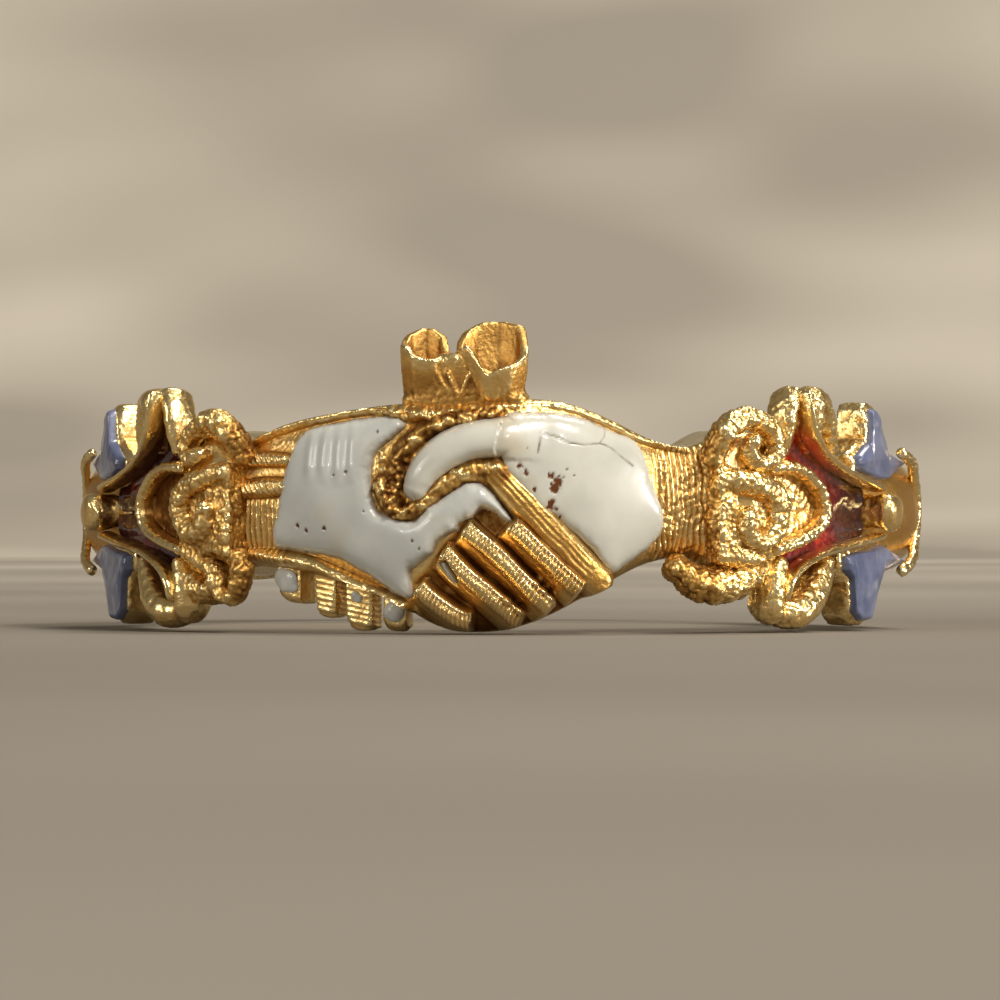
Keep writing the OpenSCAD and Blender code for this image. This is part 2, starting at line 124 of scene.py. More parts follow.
def pebbles(points, size, shift=0.0):
    """Round grains side by side: each cell of a lattice holds one grain at a random place, and the height
    is 1 - (distance to the nearest grain's middle / 0.75 of a cell) squared, so 1 on a grain's top. Noise
    bends the lattice, so that no rows show."""
    q = np.asarray(points) / size + 0.8 * noise(points, 2.6 * size, 5.0)[..., None] + shift
    cell = np.floor(q).astype(int)
    nearest = np.full(q.shape[:-1], 9.0)
    for step in np.ndindex(3, 3, 3):
        c = cell + np.array(step) - 1
        i, j, k = np.moveaxis(c % GRAIN_PERIOD, -1, 0)
        middle = np.stack([LATTICE[i, j, k], LATTICE[j, k, i], LATTICE[k, i, j]], -1) * 0.4 + 0.5 + c
        nearest = np.minimum(nearest, ((q - middle) ** 2).sum(-1))
    return 1 - nearest / 0.56


def higher(a, b, blend=0.05):
    """The larger of two heights, with a rounded step of about blend where they cross."""
    return (a + b + np.sqrt((a - b) ** 2 + blend**2)) / 2


def polar(angle, radius, height):
    """Points at an angle from the middle of the hands, a radius from the finger axis and a height."""
    a = np.radians(angle)
    return np.stack(np.broadcast_arrays(radius * np.sin(a), -radius * np.cos(a), height), axis=-1)


def unrolled(points):
    """The angle, radius and height of points: the way back from polar."""
    x, y, z = points.T
    return np.degrees(np.arctan2(x, -y)), np.hypot(x, y), z


print("noise spreads over", round(float(np.ptp(noise(rng.random((500, 3)) * 20, 1.0))), 2))

# %% [markdown]
# Each finish is one material. Real cast gold is bright where fingers rub it and reddish brown where
# grime stays, so its colour and gloss follow an attribute that says how deep a point lies below its
# surroundings; painted shade is added to that attribute in some gaps and recesses. The same trick of
# painted attributes carries the rust, cracks and worn places of the enamel, because a pattern that
# belongs to one spot of a piece needs its own mask there.

# %% Materials
def shader(name, **sockets):
    """A material with one Principled shader, its sockets set straight away."""
    material = bpy.data.materials.new(name)
    material.use_nodes = True
    principled = material.node_tree.nodes["Principled BSDF"]
    for socket, value in sockets.items():
        principled.inputs[socket.replace("_", " ")].default_value = value
    return material, material.node_tree, principled


def add(tree, kind, **settings):
    """A new node with its settings."""
    node = tree.nodes.new(kind)
    for key, value in settings.items():
        setattr(node, key, value)
    return node


def mask(tree, name):
    """The value that a piece carries at each point under this name."""
    return add(tree, "ShaderNodeAttribute", attribute_name=name).outputs["Fac"]


def ramp(tree, value, stops):
    """Colours by position along a value."""
    node = add(tree, "ShaderNodeValToRGB")
    elements = node.color_ramp.elements
    while len(elements) < len(stops):
        elements.new(0.5)
    for element, (place, colour) in zip(elements, stops):
        element.position = place
        element.color = (*colour, 1)
    tree.links.new(value, node.inputs["Fac"])
    return node.outputs["Color"]


def mix(tree, factor, a, b):
    """Colour a where the factor is 0 and b where it is 1."""
    node = add(tree, "ShaderNodeMix", data_type="RGBA")
    tree.links.new(factor, node.inputs["Factor"])
    for socket, value in ((node.inputs["A"], a), (node.inputs["B"], b)):
        if isinstance(value, tuple):
            socket.default_value = (*value, 1)
        else:
            tree.links.new(value, socket)
    return node.outputs["Result"]


def scaled(tree, value, low, high, to_low=0.0, to_high=1.0):
    """A value moved from one range to another and held inside it."""
    node = add(tree, "ShaderNodeMapRange", clamp=True)
    for socket, number in zip(("From Min", "From Max", "To Min", "To Max"), (low, high, to_low, to_high)):
        node.inputs[socket].default_value = number
    tree.links.new(value, node.inputs["Value"])
    return node.outputs["Result"]


def grain(tree, per_metre, detail=3.0):
    """Noise in the object's own coordinates, per_metre spots to a metre."""
    place = add(tree, "ShaderNodeTexCoord").outputs["Object"]
    node = add(tree, "ShaderNodeTexNoise")
    node.inputs["Scale"].default_value = per_metre
    node.inputs["Detail"].default_value = detail
    tree.links.new(place, node.inputs["Vector"])
    return node.outputs["Fac"]


def bump(tree, principled, height, depth, strength):
    """Small dents in the shading, depth metres deep. Returns the node, so that its strength can vary."""
    node = add(tree, "ShaderNodeBump")
    node.inputs["Distance"].default_value = depth
    node.inputs["Strength"].default_value = strength
    tree.links.new(height, node.inputs["Height"])
    tree.links.new(node.outputs["Normal"], principled.inputs["Normal"])
    return node


def make_gold(name, polish):
    """Gold whose hollows are brown and matt, and darker still where painted shade is added to the hollow
    mark. A higher polish gives smoother faces, and so does the rubbed mark, where a finger wears the gold."""
    material, tree, principled = shader(name, Metallic=1.0)
    gloss, grit = 0.3 - 0.16 * polish, 0.9 - 0.7 * polish
    hollow = mask(tree, "hollow")
    colour = ramp(tree, hollow, [(0.0, (1.0, 0.86, 0.52)), (0.44, (0.92, 0.68, 0.3)),
                                 (0.6, (0.6, 0.34, 0.09)), (0.85, (0.17, 0.065, 0.015))])
    dusty = mix(tree, scaled(tree, grain(tree, 2600), 0.5, 0.7, 0.0, 0.5), colour, (0.68, 0.43, 0.13))
    tree.links.new(dusty, principled.inputs["Base Color"])
    tree.links.new(scaled(tree, hollow, 0.35, 0.8, gloss, 0.55), principled.inputs["Roughness"])
    grainy = bump(tree, principled, grain(tree, 9000), 0.00004, grit)
    tree.links.new(scaled(tree, mask(tree, "rubbed"), 0.0, 1.0, grit, 0.45), grainy.inputs["Strength"])
    return material


def make_white(name, tint):
    """Opaque enamel: glossy, faintly cloudy, rust brown where it is stained and dark along cracks."""
    material, tree, principled = shader(name, Coat_Weight=0.3, Coat_Roughness=0.07)
    cloudy = mix(tree, scaled(tree, grain(tree, 900), 0.35, 0.7), tint, tuple(0.86 * c for c in tint))
    beige = mix(tree, mask(tree, "beige"), cloudy, (0.46, 0.41, 0.3))
    stained = mix(tree, mask(tree, "stain"), beige, (0.11, 0.035, 0.008))
    cracked = mix(tree, mask(tree, "crack"), stained, (0.1, 0.05, 0.03))
    tree.links.new(cracked, principled.inputs["Base Color"])
    for socket, clean, rusty in (("Roughness", 0.28, 0.7), ("Coat Weight", 0.3, 0.0),
                                 ("Specular IOR Level", 0.5, 0.1)):
        tree.links.new(scaled(tree, mask(tree, "stain"), 0.0, 1.0, clean, rusty), principled.inputs[socket])
    bump(tree, principled, grain(tree, 1200), 0.00003, 0.2)
    return material


def make_red(name):
    """Translucent red enamel over gold: bright and speckled where it is thin, nearly black where thick."""
    material, tree, principled = shader(name, Coat_Weight=1.0, Coat_Roughness=0.04, Roughness=0.15)
    flecks = scaled(tree, grain(tree, 7000, 4.0), 0.45, 0.62)
    bright = mix(tree, flecks, (0.2, 0.008, 0.004), (0.46, 0.04, 0.015))
    dark = mix(tree, flecks, (0.028, 0.005, 0.005), (0.065, 0.014, 0.013))
    red = mix(tree, mask(tree, "thick"), bright, dark)
    tree.links.new(mix(tree, mask(tree, "bloom"), red, (0.09, 0.045, 0.05)), principled.inputs["Base Color"])
    bump(tree, principled, grain(tree, 3000), 0.00003, 0.3)
    return material


def make_blue(name):
    """Opaque slate blue enamel, paler where it is rubbed."""
    material, tree, principled = shader(name, Coat_Weight=0.5, Coat_Roughness=0.08, Roughness=0.3)
    cloudy = mix(tree, scaled(tree, grain(tree, 1500), 0.35, 0.7), (0.085, 0.105, 0.19), (0.165, 0.18, 0.28))
    tree.links.new(mix(tree, mask(tree, "worn"), cloudy, (0.33, 0.35, 0.42)), principled.inputs["Base Color"])
    bump(tree, principled, grain(tree, 3500), 0.00003, 0.4)
    return material


cast_gold = make_gold("cast_gold", 0.35)
polished_gold = make_gold("polished_gold", 0.6)
white_left = make_white("white_enamel_bluish", (0.53, 0.54, 0.5))
white_right = make_white("white_enamel_pale", (0.56, 0.55, 0.475))
red_glass = make_red("red_enamel")
blue_glass = make_blue("blue_enamel")
print("materials:", ", ".join(m.name for m in bpy.data.materials))

# %% [markdown]
# Every piece goes through one function. It takes points in millimetres, makes the mesh in metres at
# the origin, and gives each point its marks. The hollow mark compares a point with the mean of the
# points around it, spread a few times along the edges of the mesh.

# %% Making a piece
SIDES = (("right", 1), ("left", -1))


def spread(values, edges, rounds):
    """Values averaged again and again over the points that each point shares an edge with."""
    count = np.maximum(np.bincount(edges.ravel(), minlength=len(values)), 1)
    for _ in range(rounds):
        values = np.stack([np.bincount(edges[:, 0], v[edges[:, 1]], len(v))
                           + np.bincount(edges[:, 1], v[edges[:, 0]], len(v)) for v in values.T], 1)
        values = values / count[:, None]
    return values


def mesh_arrays(mesh):
    """Points, edges and outward normals of a mesh as arrays."""
    points = np.empty(3 * len(mesh.vertices))
    mesh.vertices.foreach_get("co", points)
    edges = np.empty(2 * len(mesh.edges), int)
    mesh.edges.foreach_get("vertices", edges)
    normals = np.empty(3 * len(mesh.vertices))
    mesh.vertex_normals.foreach_get("vector", normals)
    return points.reshape(-1, 3), edges.reshape(-1, 2), normals.reshape(-1, 3)


def hollow_mark(points, edges, normals, rounds, depth):
    """0.5 on even ground, more in a hollow and less on a ridge, by depth millimetres for the full range."""
    below = ((spread(points, edges, rounds) - points) * normals).sum(1)
    return unit(0.5 + below / depth)


def new_object(name, points, faces):
    """A smooth mesh as an object at the origin."""
    mesh = bpy.data.meshes.new(name)
    mesh.from_pydata(points.tolist(), [], faces)
    mesh.polygons.foreach_set("use_smooth", [True] * len(mesh.polygons))
    obj = bpy.data.objects.new(name, mesh)
    bpy.context.collection.objects.link(obj)
    return obj


def make_piece(name, points, faces, material, slot="gold", nodes=("gold_ring",), hollow_rounds=0,
               hollow_depth=0.2, **marks):
    """One finished piece at the origin, riding on the ring's one body and standing for these solids."""
    obj = new_object(name, points * MM, faces)
    mesh = obj.data
    if hollow_rounds:
        p, e, n = mesh_arrays(mesh)
        # The darkening mark, partly grime and partly painted shade, is added to the hollow mark here.
        marks["hollow"] = hollow_mark(p / MM, e, n, hollow_rounds, hollow_depth) + marks.pop("dirt_and_shade", 0)
    for mark, values in marks.items():
        layer = mesh.attributes.new(mark, "FLOAT", "POINT")
        layer.data.foreach_set("value", unit(np.asarray(values, np.float32).ravel()))
    mesh.materials.append(material)
    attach(obj, "root")
    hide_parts(*nodes)
    triangles = sum(len(f) - 2 for f in faces)
    print(name, triangles, "triangles,", np.round(np.ptp(points, axis=0), 2), "mm")


def grid_faces(rows, columns, around=False):
    """Quads between neighbouring points of a grid, closed across where asked."""
    i = np.arange(rows - 1)[:, None] * columns
    j = np.arange(columns if around else columns - 1)[None, :]
    nj = (j + 1) % columns
    quads = np.stack(np.broadcast_arrays(i + j, i + nj, i + columns + nj, i + columns + j), -1)
    return quads.reshape(-1, 4).tolist()


def capped(rings):
    """A closed form from rings of points: quads between the rings, and a fan to a point at both ends."""
    n, m = rings.shape[:2]
    points = np.vstack([rings.reshape(-1, 3), rings[0].mean(0), rings[-1].mean(0)])
    j = np.arange(m)
    fans = [np.stack([(j + 1) % m, j, np.full(m, n * m)], 1),
            np.stack([(n - 1) * m + j, (n - 1) * m + (j + 1) % m, np.full(m, n * m + 1)], 1)]
    return points, grid_faces(n, m, around=True) + fans[0].tolist() + fans[1].tolist()


# %% [markdown]
# The gold under everything is one smooth core. Each row of the table below is a section of it at an
# angle: two edges, the radius there, and the radius of its crown. Between the rows the numbers are
# blended with a bell a few degrees wide, so the core has no creases.

# %% Sections of the core
BORE_R, BORE_W, BORE_EASE, BORE_LIP = 9.3, 2.3, 0.12, 0.08
HAND_BELL, HOOP_BELL, BELL_REACH = 1.2, 5.0, 50
HOOP_FROM, HOOP_BLEND = 94, 10
HAND_SECTIONS = [
    [-36, -1.45, 1.8, 10.5, 11.2], [-33, -1.5, 2.05, 10.5, 11.25], [-28, -1.6, 2.4, 10.5, 11.15],
    [-23, -1.7, 2.6, 10.5, 11.3], [-18, -1.85, 2.75, 10.6, 11.45], [-13, -2.15, 2.88, 10.6, 11.55],
    [-9, -2.6, 2.95, 10.8, 11.6], [-6, -3.0, 3.0, 10.8, 11.7], [-3, -3.2, 3.03, 10.8, 11.7],
    [1, -3.25, 3.05, 10.8, 11.7], [5, -3.2, 3.08, 10.8, 11.7], [9, -2.98, 3.08, 10.8, 11.7],
    [13, -2.65, 3.0, 10.8, 11.7], [17, -2.25, 2.75, 10.6, 11.65], [21, -1.8, 2.42, 10.6, 11.45],
    [25, -1.45, 2.05, 10.5, 11.25], [29, -1.25, 1.8, 10.5, 11.25], [33, -1.22, 1.75, 10.5, 11.2]]
SIDE_SECTIONS = [
    [36, -1.75, 2.05, 10.8, 11.6], [40, -1.75, 2.3, 11.1, 11.95], [44, -1.75, 2.1, 11.0, 11.8],
    [47, -1.75, 1.95, 10.6, 11.1], [50, -1.55, 1.85, 10.5, 11.05], [54, -1.3, 1.6, 10.5, 11.05],
    [58, -1.15, 1.3, 10.5, 11.05], [62, -1.05, 1.1, 10.5, 11.05], [66, -1.0, 1.0, 10.5, 11.1],
    [70, -1.1, 1.1, 10.6, 11.35], [76, -1.35, 1.35, 10.9, 11.7], [83, -1.5, 1.5, 10.9, 11.95],
    [90, -1.5, 1.5, 10.7, 12.0], [96, -1.55, 1.55, 10.4, 11.85], [102, -1.65, 1.65, 10.0, 11.3],
    [109, -1.8, 1.66, 9.75, 10.7], [118, -2.0, 1.6, 9.65, 10.3], [128, -2.05, 1.55, 9.65, 10.0],
    [140, -1.75, 1.48, 9.65, 10.0], [153, -1.38, 1.38, 9.65, 10.0], [167, -1.2, 1.2, 9.65, 10.0]]
BACK_SECTION = [180, -1.2, 1.2, 9.65, 10.0]


def core_table(step=0.25):
    """The sections at even small steps of angle, each number blended with its neighbours by a bell: a
    narrow one from the hands to the leaves, where forms are short, and a wide one round the hoop."""
    other = [[-row[0], *row[1:]] for row in SIDE_SECTIONS[::-1]]
    rows = np.array([[-180, *BACK_SECTION[1:]], *other, *HAND_SECTIONS, *SIDE_SECTIONS, BACK_SECTION])
    angles = np.arange(-180, 180, step)
    hoop = unit((np.abs(angles) - HOOP_FROM) / HOOP_BLEND)
    away = np.arange(-BELL_REACH, BELL_REACH + 1) * step
    bells = [np.exp(-0.5 * (away / wide) ** 2) for wide in (HAND_BELL, HOOP_BELL)]
    columns = []
    for column in rows.T[1:]:
        plain = np.pad(np.interp(angles, rows[:, 0], column), BELL_REACH, "wrap")
        sharp, soft = (np.convolve(plain, bell / bell.sum(), "valid") for bell in bells)
        columns.append(sharp + (soft - sharp) * hoop)
    return angles, columns


CORE_ANGLES, CORE_COLUMNS = core_table()


def core_at(angle, turn):
    """Radius and height of the core at an angle and a turn from its lower edge, -90, to its upper, 90:
    the height goes with the sine of the turn, the radius with its cosine to the power 0.8."""
    low, high, edge, crown = (np.interp(angle, CORE_ANGLES, c, period=360) for c in CORE_COLUMNS)
    t = np.radians(turn)
    radius = edge + (crown - edge) * np.maximum(np.cos(t), 0) ** 0.8
    return radius, (low + high) / 2 + (high - low) / 2 * np.sin(t)


def turns(count):
    """Turns from -90 to 90, closer together towards the two edges."""
    even = 0.72
    q = np.linspace(-1, 1, count)
    return 90 * q * (even + (1 - even) * q**2)


def inner_wall(low, high):
    """Radius and height of the wall of the finger hole, from its upper edge to its lower: two eased
    edges with the straight bore between them."""
    top, bottom = np.minimum(BORE_W / 2, high - BORE_LIP), np.maximum(-BORE_W / 2, low + BORE_LIP)
    straight = [top + (bottom - top) * share for share in np.linspace(0, 1, 5)]
    radius = np.full(9, BORE_R)
    radius[[0, 1, -2, -1]] += BORE_EASE
    return radius, np.stack([high, top + 0.02, *straight, bottom - 0.02, low], -1)


def closed_band(name, angles, radius, height, material, marks, **settings):
    """A stretch of the ring from its skin: the wall of the finger hole is added, and both ends are
    capped. Each mark is given as its values on the skin, its value on the wall, and that at the ends."""
    wall = polar(angles[:, None], *inner_wall(height[:, 0], height[:, -1]))
    rings = np.concatenate([polar(angles[:, None], radius, height), wall], axis=1)
    for mark, (on_skin, on_wall, at_ends) in marks.items():
        values = np.concatenate([on_skin, np.full(wall.shape[:2], on_wall)], axis=1)
        settings[mark] = np.append(values[:, ::-1].ravel(), [at_ends] * 2)
    make_piece(name, *capped(rings[:, ::-1]), material, **settings)


crown_radius, _ = core_at(np.array([0.0, 90.0, 180.0]), 0.0)
print("crown of the core at 0, 90 and 180 degrees:", crown_radius)

# %% [markdown]
# Fingers, bands, rims and creases all follow paths on the unrolled surface. For every point of the
# grid the nearest place on a path gives a distance across, a length along, and the path's own radius
# and size there. Profiles are then plain functions of those arrays.

# %% Following a path
UNROLL_R = 11.75
FAR = 1e9
THUMB = [[9.5, 11.6, 2.02, 0.6, 0.5], [6, 11.65, 2.04, 0.58, 0.55], [3.8, 11.75, 2.02, 0.52, 0.55],
         [0.3, 11.8, 1.94, 0.5, 0.55], [-2.7, 11.8, 1.67, 0.5, 0.55], [-5.0, 11.8, 1.29, 0.47, 0.5],
         [-6.3, 11.8, 0.92, 0.42, 0.46], [-6.8, 11.8, 0.68, 0.37, 0.4]]
FINGERS = [
    [[5.2, 11.62, -0.2, 0.3, 0.22], [6.8, 11.8, -0.54, 0.42, 0.4], [10, 11.8, -1.18, 0.44, 0.42],
     [13.4, 11.65, -1.83, 0.42, 0.4], [15.6, 11.4, -2.18, 0.32, 0.34]],
    [[-1.0, 11.62, -0.34, 0.3, 0.22], [1.0, 11.78, -0.64, 0.38, 0.38], [3.2, 11.8, -1.02, 0.42, 0.42],
     [6.2, 11.75, -1.64, 0.44, 0.42], [9.4, 11.6, -2.3, 0.42, 0.42], [11.4, 11.3, -2.7, 0.34, 0.38]],
    [[-3.8, 11.6, -0.96, 0.32, 0.24], [-2.6, 11.72, -1.16, 0.38, 0.36], [-0.4, 11.75, -1.64, 0.4, 0.42],
     [3.0, 11.65, -2.24, 0.42, 0.44], [5.8, 11.4, -2.72, 0.4, 0.44], [7.6, 11.0, -2.98, 0.34, 0.38]],
    [[-7.2, 11.45, -1.92, 0.34, 0.36], [-4.6, 11.5, -2.38, 0.4, 0.42], [-1.6, 11.35, -2.8, 0.42, 0.44],
     [1.0, 11.0, -2.96, 0.38, 0.44]]]
LUMPS = [[9.2, -1.84], [11.3, -2.24], [5.2, -2.36], [7.0, -2.64], [10.2, -2.06]]
BAND = [[4.0, 11.72, 1.0, 0.32, 0.24], [7.4, 11.75, 0.26, 0.38, 0.26], [11.2, 11.75, -0.58, 0.4, 0.26],
        [15, 11.6, -1.4, 0.42, 0.28], [17.8, 11.4, -1.84, 0.36, 0.28]]
FOLD = sized([[-11.4, 11.65, 0.7, 0.22], [-9.8, 11.7, 0.06, 0.17], [-7.7, 11.72, 0.0, 0.15],
              [-6.3, 11.75, 0.2, 0.16], [-4.4, 11.75, 0.5, 0.18], [-2.5, 11.75, 0.84, 0.2],
              [-0.5, 11.75, 1.07, 0.22], [1.8, 11.75, 1.15, 0.25], [4.2, 11.68, 1.16, 0.3]], 0.2)
FOLD_ABOVE = sized([
    [-10.6, 11.6, 0.3, 0.2], [-9.9, 11.6, 0.95, 0.2], [-8.8, 11.6, 1.62, 0.18], [-6.8, 11.6, 2.06, 0.16],
    [-4.0, 11.6, 2.38, 0.15], [-1.0, 11.5, 2.54, 0.15], [3.0, 11.4, 2.66, 0.16]], 0.16)
LOWER_RIM = [
    [-33.5, 10.9, -1.14, 0.2, 0.36], [-28, 10.95, -1.26, 0.2, 0.36], [-23, 11.0, -1.42, 0.2, 0.36],
    [-17.7, 11.05, -1.83, 0.2, 0.36], [-13.3, 11.1, -2.2, 0.19, 0.36], [-9.3, 11.15, -2.54, 0.18, 0.34]]
UPPER_RIM = [
    [-34, 10.8, 1.92, 0.14, 0.25], [-28, 10.8, 2.32, 0.14, 0.25], [-20, 10.9, 2.64, 0.14, 0.25],
    [-13, 11.0, 2.8, 0.16, 0.25], [-9.6, 11.2, 2.7, 0.2, 0.28], [-3.5, 11.25, 2.6, 0.22, 0.3],
    [1, 11.2, 2.74, 0.18, 0.3], [7, 11.0, 2.88, 0.14, 0.25], [13, 11.0, 2.82, 0.14, 0.25],
    [19, 10.95, 2.44, 0.14, 0.25], [25, 10.8, 1.96, 0.14, 0.25], [32, 10.7, 1.66, 0.14, 0.25]]
WRIST_BARS = [
    [[-34.5, 11.1, 1.42, 0.17, 0.22], [-31, 11.1, 1.44, 0.18, 0.24], [-27.2, 11.15, 1.42, 0.15, 0.24]],
    [[-34.7, 11.21, 0.61, 0.22, 0.22], [-31.2, 11.27, 0.67, 0.24, 0.24], [-27.2, 11.23, 0.71, 0.2, 0.24]]]


def arc(angle):
    """Length on the unrolled surface for an angle."""
    return np.radians(angle) * UNROLL_R


def follow(path, angle, height):
    """Nearest place on a path for every point: signed distance across (positive to the left of the
    way it runs), length along, and the path's radius, half width and half depth there."""
    line = smooth(path, 6)
    x, y = arc(line[:, 0]), line[:, 2]
    u, v = arc(angle), height
    best = np.full(np.shape(u), FAR)
    found = [np.zeros(np.shape(u)) for _ in range(5)]
    start = 0.0
    for k in range(len(x) - 1):
        dx, dy = x[k + 1] - x[k], y[k + 1] - y[k]
        length = math.hypot(dx, dy)
        t = unit(((u - x[k]) * dx + (v - y[k]) * dy) / length**2)
        du, dv = u - x[k] - t * dx, v - y[k] - t * dy
        away = np.hypot(du, dv)
        nearer = away < best
        best = np.where(nearer, away, best)
        values = [away * np.where(dx * dv - dy * du >= 0, 1, -1), start + t * length,
                  *(line[k, c] + t * (line[k + 1, c] - line[k, c]) for c in (1, 3, 4))]
        found = [np.where(nearer, value, old) for value, old in zip(values, found)]
        start += length
    return found


def inside(outline, angle, height):
    """Signed distance to an outline, positive inside. A point is inside where a line from it crosses
    the outline an odd number of times."""
    loop = np.array(outline, float)
    x, y = arc(loop[:, 0]), loop[:, 1]
    u, v = np.broadcast_arrays(arc(angle), height)
    nearest = np.full(u.shape, FAR)
    crossings = np.zeros(u.shape, int)
    for k in range(len(x)):
        x0, y0, x1, y1 = x[k - 1], y[k - 1], x[k], y[k]
        dx, dy = x1 - x0, y1 - y0
        t = unit(((u - x0) * dx + (v - y0) * dy) / (dx * dx + dy * dy))
        nearest = np.minimum(nearest, np.hypot(u - x0 - t * dx, v - y0 - t * dy))
        crossings += ((y0 > v) != (y1 > v)) & (u < x0 + (v - y0) * dx / (dy if dy else 1e-9))
    return np.where(crossings % 2 == 1, nearest, -nearest)


def rounded(loop, steps=5):
    """A closed outline drawn through its points with the same cubic as an open curve."""
    return smooth(loop[-2:] + loop + loop[:2], steps)[2 * steps:-(2 * steps + 1)]


def bar(path, angle, height, reach, power):
    """A bar along a path: highest on its middle line, and falling with the distance across, taken as a
    share of reach half widths, to a power. Its surface, then across, along and half width."""
    across, along, top, wide, deep = follow(path, angle, height)
    return top + deep * (1 - (across / (reach * wide)) ** power), across, along, wide


def window(values, low, high, soft):
    """1 between two limits and 0 beyond them, with soft edges."""
    return unit((values - low) / soft + 0.5) * unit((high - values) / soft + 0.5)


# %% [markdown]
# The fingers overlap like tiles. Across each one the gold rises gently from a dark hollow, ends in a
# ribbed roll, and drops steeply into the next hollow. Lines that a graver cut across the roll catch
# the light one by one, so they are real waves of the surface and not only bump.

# %% Relief of the gold hands
ROLL_ACROSS = [-0.8, -0.58, -0.42, -0.28, -0.22, -0.13, -0.02, 0.1, 0.17, 0.22, 0.26, 0.31, 0.42]
ROLL_HEIGHT = [-0.9, -0.22, 0.12, 0.42, 0.72, 0.92, 1.0, 0.93, 0.97, 0.8, 0.36, -0.2, -0.9]
RIB_PITCH, RIB_DEPTH = 0.125, 0.045
PALM_DEPTH = 0.22
LUMP_SIZE, LUMP_HEIGHT = 0.16, 0.2
RING_PITCH = 0.86
CLEAN = -0.25
FINGER_PATCH = [[-3.9, -1.34], [-2.9, -1.28], [-1.5, -1.72], [-1.4, -1.96], [-2.7, -1.76]]
PALM = [[1.2, 0.9], [4.6, 0.5], [9.4, -0.5], [15.5, -1.7], [17.5, -2.6], [8.5, -3.6], [-3, -3.6],
        [-7.4, -2.9], [-7.6, -1.9], [-4.6, -1.2], [-1.2, -0.3]]


def hand_relief(angle, turn):
    """Radius and height of the gold of the hands, and how dark it is painted there, for grime and for
    painted shade: the core, raised by each form along its path, and roughened where the gold is worn."""
    core, height = core_at(angle, turn)
    place = polar(angle, UNROLL_R, height)
    wobble = noise(place, 0.5)
    palm = unit(inside(PALM, angle, height) / 0.3)
    carved = core - PALM_DEPTH * palm
    radius = carved
    dirt_and_shade = np.zeros(np.shape(radius))
    for path in FINGERS:
        across, along, top, _, deep = follow(path, angle, height)
        share = np.interp(across + 0.02 * wobble, ROLL_ACROSS, ROLL_HEIGHT)
        ribs = 0.5 - 2 * np.abs(np.sin(np.pi * (along + 0.25 * across + 0.03 * wobble) / RIB_PITCH)) ** 1.5
        ribs = RIB_DEPTH * window(across, -0.25, 0.16, 0.06) * ribs * (0.8 + 0.5 * wobble)
        ends = window(along, 0.06, along.max() - 0.06, 0.22)
        raised = core + share * (top + deep - core) * ends + ribs * ends
        raised = raised - 0.5 * (1 - ends) - 2.0 * np.maximum(np.abs(across) - 0.55, 0)
        radius = higher(radius, raised, 0.03)
        # Darker line in the hollow just past each roll: partly grime, partly painted shade.
        line = 0.24 * ends * np.exp(-((across - 0.36) / 0.1) ** 2) * (0.75 + 0.4 * wobble)
        dirt_and_shade = np.maximum(dirt_and_shade, line)
    # Painted shade, with some grime, in the carved palm wherever no finger rises above it.
    dirt_and_shade = np.maximum(dirt_and_shade * palm, 0.34 * palm * unit(1 - (radius - carved) / 0.1))
    patch = unit(inside(FINGER_PATCH, angle, height) / 0.08 + 0.5)
    radius = radius - patch * np.maximum(radius - core, 0)
    band, across, _, wide = bar(BAND, angle, height, 1.15, 4)
    lines = 0.008 * np.cos(2 * np.pi * (across + 0.06 * wobble) / 0.14) * (1 + 1.5 * noise(place, 0.7, 1.0))
    lumpy = 0.07 * unit(across / wide) ** 2 * rough(place, 0.3, 9.0)
    radius = higher(radius, band + lines + lumpy, 0.05)
    dirt_and_shade = np.maximum(dirt_and_shade, 0.13 * window(across, -wide, wide, 0.2))
    for at, z in LUMPS:
        away = np.hypot(arc(angle - at), height - z)
        radius = radius + LUMP_HEIGHT * unit(1 - (away / LUMP_SIZE) ** 2)
    grains = pebbles(place + 0.03 * wobble[..., None], 0.19)
    knots = 0.07 * grains + 0.16 * rough(place, 0.4, 4.0)
    patches = 0.1 + 0.3 * unit(0.5 + 1.6 * rough(place, 0.35, 8.0))
    for path in (FOLD, FOLD_ABOVE):
        fold, across, _, wide = bar(path, angle, height, 1.2, 2)
        radius = higher(radius, fold + knots, 0.04)
        dirt_and_shade = np.maximum(dirt_and_shade, patches * window(np.abs(across), -1, wide * 1.6, 0.1))
    ragged = 0.05 * rough(place, 0.22, 11.0)
    for path in (LOWER_RIM, UPPER_RIM):
        radius = higher(radius, bar(path, angle, height, 1.3, 2)[0] + ragged, 0.05)
    for path in WRIST_BARS:
        strip, across, along, _ = bar(path, angle, height, 1.1, 4)
        hatch = 0.03 * np.cos(2 * np.pi * (along + 0.5 * across) / 0.19)
        radius = higher(radius, strip + hatch, 0.04)
    wrist = window(angle, 26.5, 35, 1.0)
    rings = np.abs(np.sin(np.pi * (angle + 0.37 * wobble) / RING_PITCH)) * wrist
    left_rings = np.abs(np.sin(np.pi * (angle + 0.2 * wobble) / RING_PITCH))
    rings = rings + left_rings * window(angle, -35.5, -27.6, 1.0) * window(height, -1.6, 0.35, 0.3)
    broken = 0.7 + 0.5 * noise(place, 0.3, 2.0)
    worn = window(angle, -13.6, -7.4, 2.0) * window(height, -0.1, 1.7, 0.5)
    worn = np.maximum(worn, window(height, 2.45, 9, 0.3) * window(angle, -14, 8, 2))
    worn = np.maximum(worn, 0.5 * wrist)
    grit = 0.016 * rough(place, 0.16) + 0.08 * worn * grains
    dirt_and_shade = dirt_and_shade + 0.2 * worn * (rough(place, 0.5, 3.0) + 0.3)
    front = unit(np.cos(np.radians(turn)) / 0.2)
    dirt_and_shade = dirt_and_shade * front + CLEAN * (1 - front)
    return radius + 0.09 * (rings * broken - 0.6 * (rings > 0)) + grit, height, dirt_and_shade


